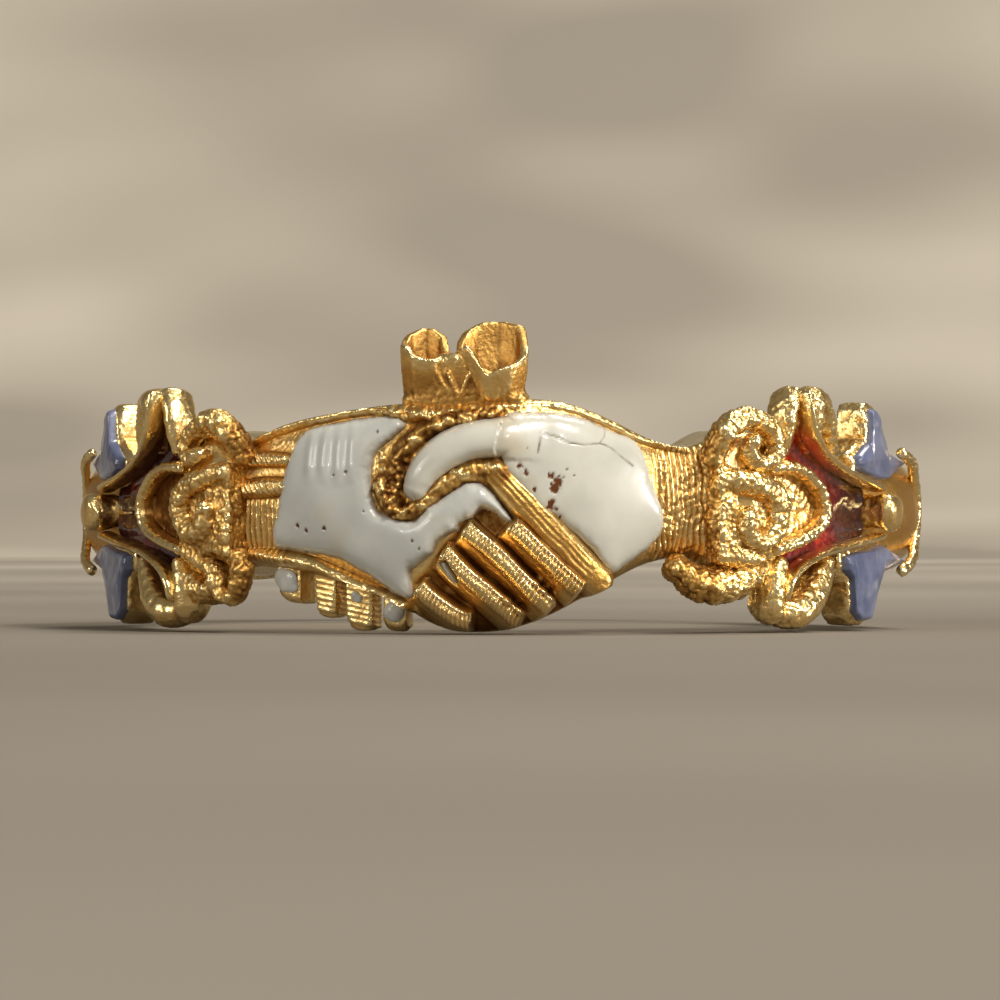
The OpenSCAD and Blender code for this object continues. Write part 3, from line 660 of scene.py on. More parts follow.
HAND_ANGLES = np.unique(np.round(np.concatenate(
    [np.arange(-36, -13, 0.2), np.arange(-13, 19, 0.11), np.arange(19, 26.4, 0.2),
     np.arange(26.4, 36, 0.12), [36]]), 3))
angle, turn = np.meshgrid(HAND_ANGLES, turns(152), indexing="ij")
radius, height, dirt_and_shade = hand_relief(angle, turn)
rubbed = 1 - unit(np.cos(np.radians(turn)) / 0.3)
closed_band("gold_hands", HAND_ANGLES, radius, height, cast_gold,
            {"dirt_and_shade": (dirt_and_shade, CLEAN, 0), "rubbed": (rubbed, 1, 1)}, hollow_rounds=10)

# %% [markdown]
# Behind the cuffs the ring is a plain polished band, D in section, made from the same core at a
# coarser step.

# %% Hoop
HOOP_ANGLES = np.concatenate([np.arange(36, 110, 0.5), np.arange(110, 250, 1.0), np.arange(250, 324, 0.5),
                              [324]])
around = (HOOP_ANGLES[:, None] + 180) % 360 - 180
angle, turn = np.meshgrid(HOOP_ANGLES, turns(48), indexing="ij")
radius, height = core_at(around, turn)
radius = radius + 0.012 * rough(polar(angle, radius, height), 0.8)
# Darker on the hoop between the leaves, round the beads.
dirt_and_shade = 0.16 * window(np.abs(around), 60, 84, 4) * window(np.abs(height), -1, 0.9, 0.4)
closed_band("gold_hoop", HOOP_ANGLES, radius, height, polished_gold, {"dirt_and_shade": (dirt_and_shade, 0, 0)},
            hollow_rounds=4, hollow_depth=0.3)

# %% [markdown]
# Cuffs, straps, leaves and arches were modelled in wax and cast, so their forms melt into each other.
# Here each is a closed tube or plate. A voxel remesh melts them into one skin, a little smoothing takes
# the steps out, and noise along the normals brings the grain of the casting back. The remesh runs
# with a millimetre as its unit, because its smallest cell is too coarse for a ring in metres.

# %% Casting forms together
def tube(path, sides=20, steps=5, swell=0.0, wave=0.5):
    """A round bar along a path: ellipses of the path's half width across and half depth outwards, drawn
    in to a point over a quarter circle at both ends. Swell makes it knobbly, wave millimetres a knob."""
    line = smooth(path, steps)
    centre = polar(line[:, 0], line[:, 1], line[:, 2])
    way = np.gradient(centre, axis=0)
    way /= np.linalg.norm(way, axis=1)[:, None]
    out = polar(line[:, 0], 1.0, 0.0)
    across = np.cross(way, out)
    across /= np.linalg.norm(across, axis=1)[:, None]
    up = np.cross(across, way)
    length = np.concatenate([[0], np.cumsum(np.linalg.norm(np.diff(centre, axis=0), axis=1))])
    size = (1 + swell * np.cos(2 * np.pi * length / wave))[:, None]
    wide, deep = line[:, 3:4] * size, line[:, 4:5] * size
    t = np.linspace(0, 2 * np.pi, sides, endpoint=False)[:, None]

    def ring(k, share=1.0, push=0.0):
        """The ellipse at step k, drawn in to a share of its size and pushed along the path."""
        oval = wide[k] * np.cos(t) * across[k] + deep[k] * np.sin(t) * up[k]
        return centre[k] + push * way[k] + share * oval

    turn = np.linspace(0.15, 1.25, 4)
    last = len(line) - 1
    head = [ring(0, np.sin(a), -0.8 * wide[0, 0] * np.cos(a)) for a in turn]
    tail = [ring(last, np.sin(a), 0.8 * wide[last, 0] * np.cos(a)) for a in turn[::-1]]
    return capped(np.array(head + [ring(k) for k in range(last + 1)] + tail))


def plate(rows, low, top, rounding=0.12):
    """A curved plate between two radii over rows of an angle and two heights, its upper edges rounded."""
    rows = np.array(rows, float)
    a, z0, z1 = rows.T
    heights = np.stack([z0, z0, z0 + rounding, (z0 + z1) / 2, z1 - rounding, z1, z1], 1)
    radii = np.array([low, top - rounding, top, top, top, top - rounding, low])
    return capped(polar(a[:, None], radii, heights))


def joined(forms):
    """Several forms as one list of points and faces."""
    points, faces, start = [], [], 0
    for p, f in forms:
        points.append(p)
        faces += [[start + k for k in face] for face in f]
        start += len(p)
    return np.vstack(points), faces


def cast(name, forms, material, voxel=0.05, relax=3, grit=0.03, size=0.5, grains=0.0, grain_size=0.17,
         depth=0.16, mirrored=False, shift=0.0, rub=None, dirt_and_shade=None, lines=None, **settings):
    """One piece from overlapping closed forms, melted together by a voxel remesh. Grit is the height of
    its soft dents and grains that of the round grains on its skin; rub scales both from place to place,
    the darkening mark darkens places with grime and with painted shade, and lines adds a height of its own."""
    points, faces = joined(forms)
    if mirrored:
        points = points * [-1, 1, 1]
        faces = [face[::-1] for face in faces]
    lump = new_object("melt", points, faces)
    melt = lump.modifiers.new("melt", "REMESH")
    melt.mode, melt.voxel_size = "VOXEL", voxel
    melted = lump.evaluated_get(bpy.context.evaluated_depsgraph_get()).to_mesh()
    p, e, n = mesh_arrays(melted)
    faces = [list(face.vertices) for face in melted.polygons]
    for _ in range(relax):
        p = 0.5 * p + 0.5 * spread(p, e, 1)
    skin = grit * rough(p, size, shift) + (grains * pebbles(p, grain_size, shift) if grains else 0)
    skin = skin * (1 if rub is None else rub(p)) + (0 if lines is None else lines(p))
    if dirt_and_shade is not None:
        settings["dirt_and_shade"] = dirt_and_shade(p)
    p = p + n * skin[:, None]
    bpy.data.objects.remove(lump)
    make_piece(name, p, faces, material, hollow_rounds=10, hollow_depth=depth, **settings)


RIDGES = [
    [[68.6, 11.65, 0.66, 0.14, 0.3], [63.6, 11.55, 0.88, 0.14, 0.32], [59, 11.5, 1.16, 0.14, 0.34],
     [55.2, 11.55, 1.46, 0.14, 0.36], [52, 11.68, 1.8, 0.14, 0.38], [49.8, 11.85, 2.2, 0.14, 0.38],
     [48.8, 11.92, 2.7, 0.13, 0.36], [48.6, 11.85, 3.25, 0.12, 0.34]],
    [[68.6, 11.65, -0.66, 0.14, 0.3], [60.1, 11.45, -0.94, 0.14, 0.32], [54.8, 11.5, -1.1, 0.14, 0.34],
     [50.8, 11.6, -1.3, 0.14, 0.36], [47.8, 11.68, -1.58, 0.14, 0.36], [45.9, 11.78, -1.92, 0.13, 0.34],
     [45.4, 11.75, -2.3, 0.13, 0.32]]]
STRAPS = [
    [[46.0, 11.25, 1.77, 0.3, 0.5], [46.4, 11.38, 2.35, 0.28, 0.54], [47.0, 11.4, 2.85, 0.27, 0.52],
     [48.2, 11.3, 3.2, 0.27, 0.5]],
    [[52.8, 11.1, 1.9, 0.3, 0.46], [52.0, 11.3, 2.45, 0.38, 0.56], [52.0, 11.35, 2.95, 0.42, 0.58],
     [54.2, 11.25, 3.0, 0.4, 0.52], [56.8, 11.1, 2.45, 0.34, 0.48], [58.8, 10.95, 1.8, 0.28, 0.42]],
    [[45.3, 11.32, -1.44, 0.34, 0.5], [44.2, 11.4, -2.0, 0.38, 0.58], [43.8, 11.4, -2.48, 0.4, 0.58],
     [44.5, 11.3, -2.73, 0.37, 0.5]],
    [[56.6, 11.1, -1.4, 0.32, 0.45], [54.6, 11.2, -1.95, 0.4, 0.52], [52.0, 11.3, -2.45, 0.46, 0.58],
     [49.1, 11.33, -2.72, 0.47, 0.59], [46.9, 11.25, -2.72, 0.4, 0.5]]]
ARCH = sized([[42.6, 11.85, 1.22], [46.4, 11.85, 1.22], [50.0, 11.75, 0.95], [52.5, 11.7, 0.52],
              [53.2, 11.7, 0.04], [51.8, 11.7, -0.44], [47.6, 11.8, -0.78], [43.2, 11.85, -1.02]], 0.17, 0.32)
ARCH_FILL = [[43.4, -0.93, 1.12], [47.7, -0.72, 1.12], [50.3, -0.48, 0.85], [52.3, -0.2, 0.4]]
RIGHT_CUFF = [
    [[34.2, 11.5, 1.5, 0.3, 0.42], [34.9, 11.75, 2.12, 0.3, 0.42], [36.6, 11.85, 2.46, 0.3, 0.4],
     [39.2, 11.9, 2.55, 0.28, 0.38], [42.0, 11.85, 2.34, 0.26, 0.36], [43.4, 11.85, 1.86, 0.24, 0.34],
     [42.2, 11.95, 1.42, 0.22, 0.32], [39.8, 12.0, 1.34, 0.2, 0.3], [38.2, 12.05, 1.66, 0.18, 0.28],
     [38.9, 12.1, 1.98, 0.16, 0.26]],
    [[35.3, 11.67, 0.88, 0.28, 0.36], [37.6, 11.9, 0.82, 0.32, 0.36], [41.0, 12.0, 0.66, 0.34, 0.36],
     [43.3, 11.95, 0.22, 0.34, 0.34], [43.0, 11.95, -0.4, 0.32, 0.32], [40.6, 12.0, -0.78, 0.28, 0.3],
     [38.2, 12.05, -0.52, 0.24, 0.28], [38.2, 12.1, -0.02, 0.2, 0.26]],
    [[35.7, 11.56, 1.13, 0.24, 0.34], [34.9, 11.55, 0.43, 0.26, 0.32], [34.7, 11.55, -0.41, 0.26, 0.32],
     [35.5, 11.56, -1.17, 0.24, 0.34]],
    [[29.6, 11.05, -1.5, 0.34, 0.45], [32.2, 11.25, -1.88, 0.46, 0.56], [36, 11.4, -2.0, 0.5, 0.6],
     [39.8, 11.35, -1.8, 0.42, 0.55], [42.6, 11.3, -1.4, 0.32, 0.45]]]
LEFT_CUFF = [
    [[-33.6, 11.4, 1.55, 0.28, 0.42], [-34.6, 11.65, 2.15, 0.3, 0.42], [-36.8, 11.8, 2.52, 0.3, 0.4],
     [-39.8, 11.8, 2.38, 0.28, 0.38], [-42.4, 11.8, 1.86, 0.26, 0.36], [-41.0, 11.9, 1.46, 0.22, 0.32],
     [-38.8, 11.95, 1.62, 0.18, 0.28]],
    [[-35.6, 11.7, 1.06, 0.3, 0.36], [-38.6, 11.9, 0.92, 0.3, 0.36], [-41.8, 11.95, 0.6, 0.32, 0.36],
     [-43.0, 11.9, 0.0, 0.32, 0.34], [-41.0, 11.95, -0.54, 0.3, 0.32], [-38.4, 12.0, -0.44, 0.26, 0.3],
     [-37.8, 12.05, 0.1, 0.22, 0.28]],
    [[-34.2, 11.5, -1.2, 0.24, 0.36], [-33.6, 11.5, -1.78, 0.24, 0.36], [-35.2, 11.45, -2.28, 0.26, 0.38],
     [-37.4, 11.45, -2.16, 0.26, 0.4], [-38.2, 11.55, -1.55, 0.26, 0.4], [-40.6, 11.55, -1.3, 0.24, 0.38]],
    [[-37.6, 11.3, -2.1, 0.34, 0.45], [-41.0, 11.35, -2.15, 0.36, 0.5], [-44.0, 11.3, -1.75, 0.3, 0.45]]]
RIGHT_FILL = [
    [34.3, -1.35, 1.3], [36.5, -1.45, 1.25], [37.6, -1.5, -0.18], [39.8, -1.55, -0.18], [41.0, -1.5, 1.0],
    [43.5, -1.3, 0.7]]
LEFT_FILL = [[-43.5, -1.3, 0.7], [-41.0, -1.5, 1.1], [-37.5, -1.2, 1.3], [-34.3, -1.35, 1.3]]
WEB = [[44.2, 1.2, 2.3], [48.6, 1.2, 2.55], [52.4, 1.2, 2.05], [56.0, 1.0, 1.62]]
LOWER_WEB = [[42.4, -1.95, -1.2], [45.6, -2.25, -1.2], [48.4, -1.8, -1.1], [53.0, -1.5, -1.0]]
LEAF_ROOT, LEAF_TOP = 10.5, 11.42
UPPER_LEAF = [
    [62.7, 0.83, 1.6], [66.5, 0.83, 2.0], [66.8, 0.83, 2.45], [67.3, 0.83, 2.85], [68.2, 0.83, 3.02],
    [69.2, 0.83, 3.05], [70.8, 0.8, 3.0], [71.8, 0.78, 2.8], [72.6, 0.74, 2.4], [74.2, 0.7, 1.85],
    [79.3, 0.62, 1.62], [86.3, 0.7, 1.57]]
LOWER_LEAF = [
    [59.2, -1.66, -0.95], [61.4, -1.95, -0.9], [61.9, -2.85, -0.83], [64.2, -3.12, -0.83],
    [67.4, -3.14, -0.83], [69.4, -2.4, -0.8], [71.6, -1.8, -0.76], [78.3, -1.64, -0.66], [86.3, -1.57, -0.72]]
RIM_HALF = [[77.5, 11.75, 1.66, 0.15, 0.15], [80.5, 11.9, 1.38, 0.14, 0.15], [83.5, 11.87, 0.95, 0.14, 0.14],
            [85.5, 11.87, 0.45, 0.14, 0.14]]
RIM = [*RIM_HALF, [86, 11.87, 0.0, 0.14, 0.14], *([a, r, -z, w, d] for a, r, z, w, d in RIM_HALF[::-1])]
LEFT_WIRE = [[62.0, 11.28, -0.02, 0.06, 0.08], [66.5, 11.4, 0.0, 0.06, 0.1]]


def cuff_painted_shade(p):
    """Painted shade in the dark gap between a cuff and its wrist, up to 34 degrees from the middle, and on
    the left also painted shade over the whole cuff and a painted shadow in the hole below its volute."""
    at, out, z = unrolled(p)
    hole = window(np.abs(at), 34.5, 40.0, 1.5) * window(z, -1.22, -0.86, 0.15)
    hole = hole * unit((11.95 - out) / 0.15)
    return 0.22 * unit((34.6 - np.abs(at)) / 1.0) + (at < 0) * (0.07 + 0.35 * hole)


def left_ridge_painted_shade(p):
    """Painted shade on the low flanks of the left ridges, where the dark enamel climbs up them."""
    return 0.42 * unit((11.8 - unrolled(p)[1]) / 0.12)


def left_arch_painted_shade(p):
    """Painted shade on the flat ground inside the left arch."""
    at, out, z = unrolled(p)
    deep = unit((11.62 - out) / 0.1)
    return 0.34 * window(-at, 42, 53, 2.0) * window(z, -0.75, 1.15, 0.3) * deep


def turned_away(p):
    """Less grain on the parts that a finger rubs, far round the shoulder."""
    return np.clip((unrolled(p)[1] - 10.2) / 1.0, 0.2, 1)


# Painted shade: the cuffs in the gap at the wrist, the left ridges on their low flanks, the left arch inside.
for side_name, cuff, fill, grains in (("right", RIGHT_CUFF, RIGHT_FILL, 0.05),
                                      ("left", LEFT_CUFF, LEFT_FILL, 0.04)):
    forms = [tube(path, swell=0.06, wave=0.4) for path in cuff] + [plate(fill, 10.6, 11.95, 0.2)]
    cast(f"gold_cuff_{side_name}", forms, cast_gold, voxel=0.04, grit=0.1, size=0.45, grains=grains,
         grain_size=0.125, shift=1.0 + 10 * grains, dirt_and_shade=cuff_painted_shade)
for side_name, left, grains, knobs in (("right", False, 0.04, 0.12), ("left", True, 0.012, 0.05)):
    cast(f"gold_ridges_{side_name}", [tube(path, sides=14, steps=8) for path in RIDGES], polished_gold,
         voxel=0.045, mirrored=left, shift=2.0, dirt_and_shade=left_ridge_painted_shade if left else None)
    forms = [tube(path, swell=0.03, wave=0.4) for path in STRAPS]
    forms += [tube(ARCH, sides=12, steps=9, swell=knobs, wave=0.26), plate(ARCH_FILL, 10.9, 11.5)]
    forms += [plate(web, 10.3, 11.05) for web in (WEB, LOWER_WEB)]
    forms += [plate(leaf, LEAF_ROOT, LEAF_TOP, 0.2) for leaf in (UPPER_LEAF, LOWER_LEAF)]
    forms += [tube(RIM, sides=12, steps=8, swell=0.06, wave=0.3)]
    if left:
        forms.append(tube(LEFT_WIRE, sides=10))
    cast(f"gold_shoulder_{side_name}", forms, polished_gold if left else cast_gold, grains=grains,
         mirrored=left, shift=3.0 if left else 4.0, rub=turned_away, dirt_and_shade=left_arch_painted_shade if left else None)

# %% [markdown]
# The peg between the two leaves is turned: a profile carried round its own axis, dented by noise so
# that its head breaks the light into several small glints.

# %% Beads
BEAD_ANGLE = 68.2
BEAD_PROFILE = [
    [0.0, 10.75], [0.5, 10.75], [0.5, 11.3], [0.46, 11.6], [0.5, 11.85], [0.52, 12.08], [0.44, 12.26],
    [0.26, 12.34], [0.0, 12.36]]


def bead(angle, shift):
    """A profile of radius and distance from the finger axis, carried round the line at that angle."""
    line = smooth(BEAD_PROFILE, 6)[1:-1]
    t = np.linspace(0, 2 * np.pi, 48, endpoint=False)
    a = math.radians(angle)
    out, over = np.array([math.sin(a), -math.cos(a), 0]), np.array([math.cos(a), math.sin(a), 0])
    ring = np.cos(t)[:, None] * over + np.sin(t)[:, None] * [0, 0, 1]
    rings = line[:, 1][:, None, None] * out + np.maximum(line[:, 0], 0.01)[:, None, None] * ring
    return capped(rings + 0.09 * rough(rings, 0.35, shift)[..., None] * ring)


for side_name, way in SIDES:
    points, faces = bead(way * BEAD_ANGLE, way * BEAD_ANGLE / 10)
    make_piece(f"gold_bead_{side_name}", points, faces, polished_gold, hollow_rounds=6)

# %% [markdown]
# Enamel is a blanket: an outer skin and an inner skin over the same grid, joined by a wall round the
# part that is kept. White enamel swells away from its border and dives under the gold round it, so
# its edge is always a clean line between the two, as where real enamel meets its cell.

# %% Blankets of enamel
def corners(grid):
    """The values of a grid at the four corners of each of its quads."""
    return grid[:-1, :-1], grid[1:, :-1], grid[1:, 1:], grid[:-1, 1:]


def blanket(name, outer, inner, keep, material, slot, node, flip=False, **marks):
    """A closed piece from two grids of points. The quads where keep is true are kept on both, and every
    edge between a kept and a dropped quad gets a wall. Flip turns the faces of a mirrored one."""
    rows, columns = outer.shape[:2]
    total = rows * columns
    a, b, c, d = corners(np.arange(total).reshape(rows, columns))
    quads = np.stack([a, b, c, d], -1)[keep]
    held = np.pad(keep, 1)
    walls = []
    for start, end, neighbour in ((a, b, held[1:-1, :-2]), (b, c, held[2:, 1:-1]),
                                  (c, d, held[1:-1, 2:]), (d, a, held[:-2, 1:-1])):
        border = keep & ~neighbour
        s, e = start[border], end[border]
        walls.append(np.stack([e, s, s + total, e + total], -1))
    faces = np.vstack([quads, quads[:, ::-1] + total] + walls)
    used, faces = np.unique(faces, return_inverse=True)
    points = np.vstack([outer.reshape(-1, 3), inner.reshape(-1, 3)])[used]
    faces = faces.reshape(-1, 4)
    make_piece(name, points, (faces[:, ::-1] if flip else faces).tolist(), material, slot, [node],
               **{key: value.ravel()[used % total] for key, value in marks.items()})


LEFT_OUTLINE = [
    [-29.3, -1.0], [-28.3, 0.2], [-26.6, 1.55], [-24.2, 2.25], [-18.2, 2.5], [-13.3, 2.62], [-9.8, 2.62],
    [-8.9, 2.35], [-10.4, 1.98], [-12.7, 1.62], [-13.3, 0.9], [-12.4, 0.14], [-10.3, -0.08], [-7.7, -0.22],
    [-6.2, -0.08], [-5.2, 0.18], [-2.6, 0.52], [-1.5, 0.7], [0.0, 0.82], [1.8, 0.78], [3.0, 0.6], [4.4, 0.26],
    [5.8, -0.2], [4.6, -0.2], [3.1, 0.02], [1.8, 0.1], [0.6, -0.12], [-0.9, -0.26], [-1.4, -0.5],
    [-2.6, -0.62], [-3.8, -0.8], [-4.4, -1.05], [-5.4, -1.24], [-6.8, -1.42], [-7.8, -1.66], [-8.0, -2.28],
    [-10.4, -2.27], [-12.8, -1.9], [-17, -1.44], [-22, -1.1]]
RIGHT_OUTLINE = [
    [4.2, 1.5], [4.9, 1.02], [6.5, 0.7], [7.9, 0.24], [9.4, -0.04], [11.4, -0.16], [12.8, -0.44],
    [14.8, -0.74], [16.9, -1.14], [18.6, -1.56], [20.2, -1.66], [22, -1.42], [24, -1.2], [26.8, -0.7],
    [27.4, -0.15], [26.6, 0.4], [25.5, 0.95], [24.8, 1.55], [23.4, 1.98], [20, 2.22], [16.4, 2.52],
    [12.4, 2.7], [8.2, 2.72], [4.6, 2.62]]
ENAMEL_T, ENAMEL_SWELL, ENAMEL_ROOT = 0.32, 0.1, 0.16
LEFT_EDGE, RIGHT_EDGE = rounded(LEFT_OUTLINE), rounded(RIGHT_OUTLINE)
CRACKS = [
    [[9.5, 2.15], [11.4, 2.05], [13.4, 1.88], [15.4, 1.83], [17.4, 1.86], [19.0, 1.75], [20.4, 1.53],
     [22.2, 1.27]],
    [[17.4, 1.86], [18.2, 2.05], [18.6, 2.26]], [[9.5, 2.02], [9.1, 1.61]]]
RUST_SPOTS = [
    [6.7, 1.25, 0.09], [7.7, 1.07, 0.08], [10.8, 1.01, 0.09], [11.6, 0.76, 0.16], [11.2, 0.6, 0.1],
    [10.8, 0.26, 0.12], [11.5, 0.1, 0.05], [12.0, -0.12, 0.05], [8.6, 0.62, 0.06]]
PITS = [[12.9, 1.17, 0.04], [13.8, 1.02, 0.035], [13.1, 0.77, 0.035], [7.7, 1.73, 0.035], [12.4, 0.95, 0.03],
        [-19.8, -0.43, 0.035], [-6.3, -0.97, 0.04], [-7.2, -0.78, 0.035], [-12.3, 2.2, 0.045],
        [-16.6, 1.1, 0.04], [-18.4, 1.02, 0.035], [-14.0, 0.02, 0.04]]
LEFT_SPOTS = [[-24.4, -0.35, 0.06], [-22.9, -0.48, 0.06], [-20.0, -0.43, 0.05]]
FOLDS = [[-22.3, 2.3, 1.0], [-20.1, 2.3, 1.0], [-17.8, 2.2, 0.9], [-15.8, 2.2, 1.0]]


def spots(table, angle, height, place):
    """Ragged stains: 1 near the middle, down to 0 over a third of the size at an edge that noise pushes
    about."""
    found = np.zeros(np.shape(height))
    edge = 1.1 * rough(place, 0.11, 5.0) + 0.5 * rough(place, 0.05, 6.0)
    for at, z, size in table:
        away = np.hypot(arc(angle - at), height - z) / size
        found = np.maximum(found, unit(3.0 * (1.1 - away + edge)))
    return found


def white_blanket(name, angles, cover_of, material, node, **extra):
    """White enamel over the gold: its thickness grows with the cover, the signed distance from its
    border, as 1 - exp(-cover / ENAMEL_SWELL), and where the cover is negative it dives below the gold."""
    angle, turn = np.meshgrid(angles, turns(152), indexing="ij")
    gold, height, _ = hand_relief(angle, turn)
    base, _ = core_at(angle, turn)
    place = polar(angle, UNROLL_R, height)
    cover, rise = cover_of(angle, height, place)
    ground = np.where(cover > 0, base, np.minimum(gold, base + 0.02))
    swell = ENAMEL_T * (1 - np.exp(-np.maximum(cover, 0) / ENAMEL_SWELL))
    thick = np.where(cover > 0, swell, 1.6 * cover)
    marks = {key: make(angle, height, place, cover) for key, make in extra.items()}
    outer = ground + thick + rise - 0.02 * marks["crack"] - 0.03 * marks["stain"]
    blanket(name, polar(angle, outer, height), polar(angle, ground - ENAMEL_ROOT, height),
            np.any(corners(cover > -0.1), axis=0), material, "white_enamel", node, **marks)


def left_cover(angle, height, place):
    """The left hand: its outline made ragged by noise, and soft folds down the back of the hand."""
    cover = inside(LEFT_EDGE, angle, height) + 0.06 * rough(place, 0.4, 2.0) + 0.03 * rough(place, 0.12, 3.0)
    folds = sum(np.exp(-(arc(angle - at) / 0.16) ** 2) * window(height, low, high, 0.5)
                for at, high, low in FOLDS)
    cover = np.maximum(cover, inside(FINGER_PATCH, angle, height))
    return cover, 0.05 * folds + 0.05 * noise(place, 1.1, 4.0) * unit(cover / 0.3)


def right_cover(angle, height, place):
    """The right hand with its thumb, which is a round bar of enamel over the left hand."""
    cover = inside(RIGHT_EDGE, angle, height) + 0.05 * rough(place, 0.4, 6.0) + 0.03 * rough(place, 0.12, 7.0)
    across, _, _, wide, deep = follow(THUMB, angle, height)
    thumb = 1.05 * wide - np.abs(across) + 0.02 * rough(place, 0.3, 8.0)
    bar = np.sqrt(unit(1 - (across / (1.1 * wide)) ** 2)) * deep * 0.75
    step_at = 3.9 + 0.5 * np.sin(height * 3.0) + 0.9 * unit((1.7 - height) / 0.25) ** 2
    fade = unit((11.0 - angle) / 7)
    raised = np.where(angle < step_at, 1.0, 0.5 * fade**2 * (3 - 2 * fade))
    rise = np.where(thumb > 0, bar, 0) * raised
    sag = 0.04 * noise(place, 1.2, 9.0)
    return np.maximum(cover, thumb), rise + sag * unit(cover / 0.3)


def crack_mark(angle, height, place, cover):
    """Fine dark lines along the crack paths."""
    paths = [[[at, 0, z, 1, 1] for at, z in crack] for crack in CRACKS]
    nearest = np.min([np.abs(follow(path, angle, height)[0]) for path in paths], axis=0)
    line = unit(1.4 - nearest / 0.025) * (0.6 + 0.4 * noise(place, 0.2))
    return np.maximum(line, spots(PITS, angle, height, place))


def edge_stain(angle, height, place, cover):
    """Brown grime in a thin broken line where the enamel meets the gold."""
    line = unit(1 - cover / (0.09 + 0.08 * rough(place, 0.5, 4.0)))
    return line * unit(0.5 + rough(place, 0.25, 1.0)) * 0.9


white_blanket("white_enamel_left", np.arange(-29.5, 6.6, 0.15), left_cover, white_left,
              "white_enamel_left_hand", crack=lambda a, h, p, c: spots(PITS, a, h, p),
              stain=lambda a, h, p, c: np.maximum(spots(LEFT_SPOTS, a, h, p), edge_stain(a, h, p, c)),
              beige=lambda a, h, p, c: 0.6 * unit(rough(p, 0.9, 5.0) * 2 - 0.4))
white_blanket("white_enamel_right", np.arange(-9.5, 29.0, 0.15), right_cover, white_right,
              "white_enamel_right_hand", crack=crack_mark,
              stain=lambda a, h, p, c: np.maximum(spots(RUST_SPOTS, a, h, p), edge_stain(a, h, p, c)),
              beige=lambda a, h, p, c: np.maximum(
                  window(a + 1.4 * rough(p, 0.5, 2.0), 4.0, 7.2, 1.6) * window(h, 1.5, 2.6, 0.4) * 0.8,
                  window(a, 4.2, 13.0, 2.0) * window(h, -0.3, 1.5, 0.4)
                  * np.clip(0.6 - c + rough(p, 0.4), 0, 0.8)))

# %% [markdown]
# Red enamel fills the field between the two ridges like a shallow dish, highest at the ridges.

# %% Red enamel
RED_OUTLINE = [
    [46.6, 1.5], [47.2, 2.35], [49.6, 2.4], [52, 1.84], [55.2, 1.46], [59, 1.1], [62.4, 0.78], [66.4, 0.64],
    [66.4, -0.64], [60.2, -0.8], [54.8, -1.08], [50.8, -1.3], [47.8, -1.58], [46.6, -0.9], [51.8, -0.44],
    [53.2, 0.04], [52.5, 0.52], [49.7, 1.05], [47.6, 1.24]]
RED_REACH, RED_GROUND, RED_T = 1.3, 10.95, 0.3
angle, turn = np.meshgrid(np.arange(45.5, 68.2, 0.2), turns(98), indexing="ij")
base, height = core_at(angle, turn)
height = height * np.interp(np.abs(height), [0, 1.0, 2.2], [1, 1, RED_REACH])
place = polar(angle, UNROLL_R, height)
cover = inside(RED_OUTLINE, angle, height)
base = np.maximum(base, RED_GROUND)
dish = base + RED_T - 0.1 * unit(cover / 0.5) + 0.02 * rough(place, 0.4)
keep = np.all(corners(cover > -0.06), axis=0)
thick = {1: (angle - 55) / 6 + 0.5 * rough(place, 0.6), -1: 1.0 + 0.8 * rough(place, 0.8)}
bloom = 0.5 * unit((angle - 57) / 4) * unit(rough(place, 0.7, 2.0) + 0.4)
for side_name, way in SIDES:
    blanket(f"red_enamel_field_{side_name}", polar(way * angle, dish, height),
            polar(way * angle, base - 0.05, height), keep, red_glass, "red_enamel", f"red_enamel_{side_name}",
            flip=way < 0, thick=unit(thick[way]), bloom=bloom)

# %% [markdown]
# The blue leaves are slabs with rounded edges and one soft ridge along them.

# %% Blue enamel
UPPER_BLUE = [
    [63.2, 1.16, 1.52], [66.9, 0.98, 1.96], [67.7, 0.96, 2.84], [68.7, 0.93, 2.9], [69.7, 0.88, 2.78],
    [70.9, 0.87, 2.32], [73.4, 0.88, 1.72], [79, 1.18, 1.54], [83, 1.33, 1.47]]
LOWER_BLUE = [
    [60.0, -1.6, -1.22], [61.8, -1.86, -1.14], [62.4, -2.78, -1.1], [64.2, -3.02, -1.08],
    [67.1, -3.02, -1.02], [69.2, -2.28, -0.96], [71.4, -1.7, -0.9], [78, -1.54, -1.14], [83, -1.47, -1.33]]
BLUE_T, BLUE_ROWS, BLUE_COLUMNS = 0.22, 66, 36
BLUE_KEEP = np.ones((BLUE_ROWS - 1, BLUE_COLUMNS - 1), bool)
share = np.linspace(0, 1, BLUE_COLUMNS)
for leaf_name, rows, shift in (("upper", UPPER_BLUE, 1.0), ("lower", LOWER_BLUE, 2.0)):
    steps = np.linspace(0, 1, BLUE_ROWS), np.linspace(0, 1, len(rows))
    angle, low, high = (np.interp(*steps, column)[:, None] for column in np.array(rows).T)
    height = low + (high - low) * share
    edge = np.minimum(np.minimum(height - low, high - height),
                      np.minimum(angle - angle[0], angle[-1] - angle) * 0.2)
    place = polar(angle, UNROLL_R, height)
    dome = BLUE_T * unit(edge / 0.1) ** 0.5
    ridge = 0.06 * unit(1 - np.abs(share - 0.5) * 3)
    top = LEAF_TOP - 0.01 + dome + ridge + 0.02 * rough(place, 0.3, shift)
    for side_name, way in SIDES:
        worn = unit(rough(place, 0.5, shift + way) * 1.6 - 0.5)
        blanket(f"blue_enamel_{leaf_name}_leaf_{side_name}", polar(way * angle, top, height),
                polar(way * angle, LEAF_TOP - 0.03, height), BLUE_KEEP, blue_glass, "blue_enamel",
                f"blue_enamel_{leaf_name}_{side_name}", flip=way < 0, worn=worn)

# %% [markdown]
# The crest is two thin-walled cups that grow into one front wall, cut with a file, so their sides are
# flat facets. Each cup is a surface over the way round and the height, with its inner skin inside it.
# Raised wires run down the front between the two.

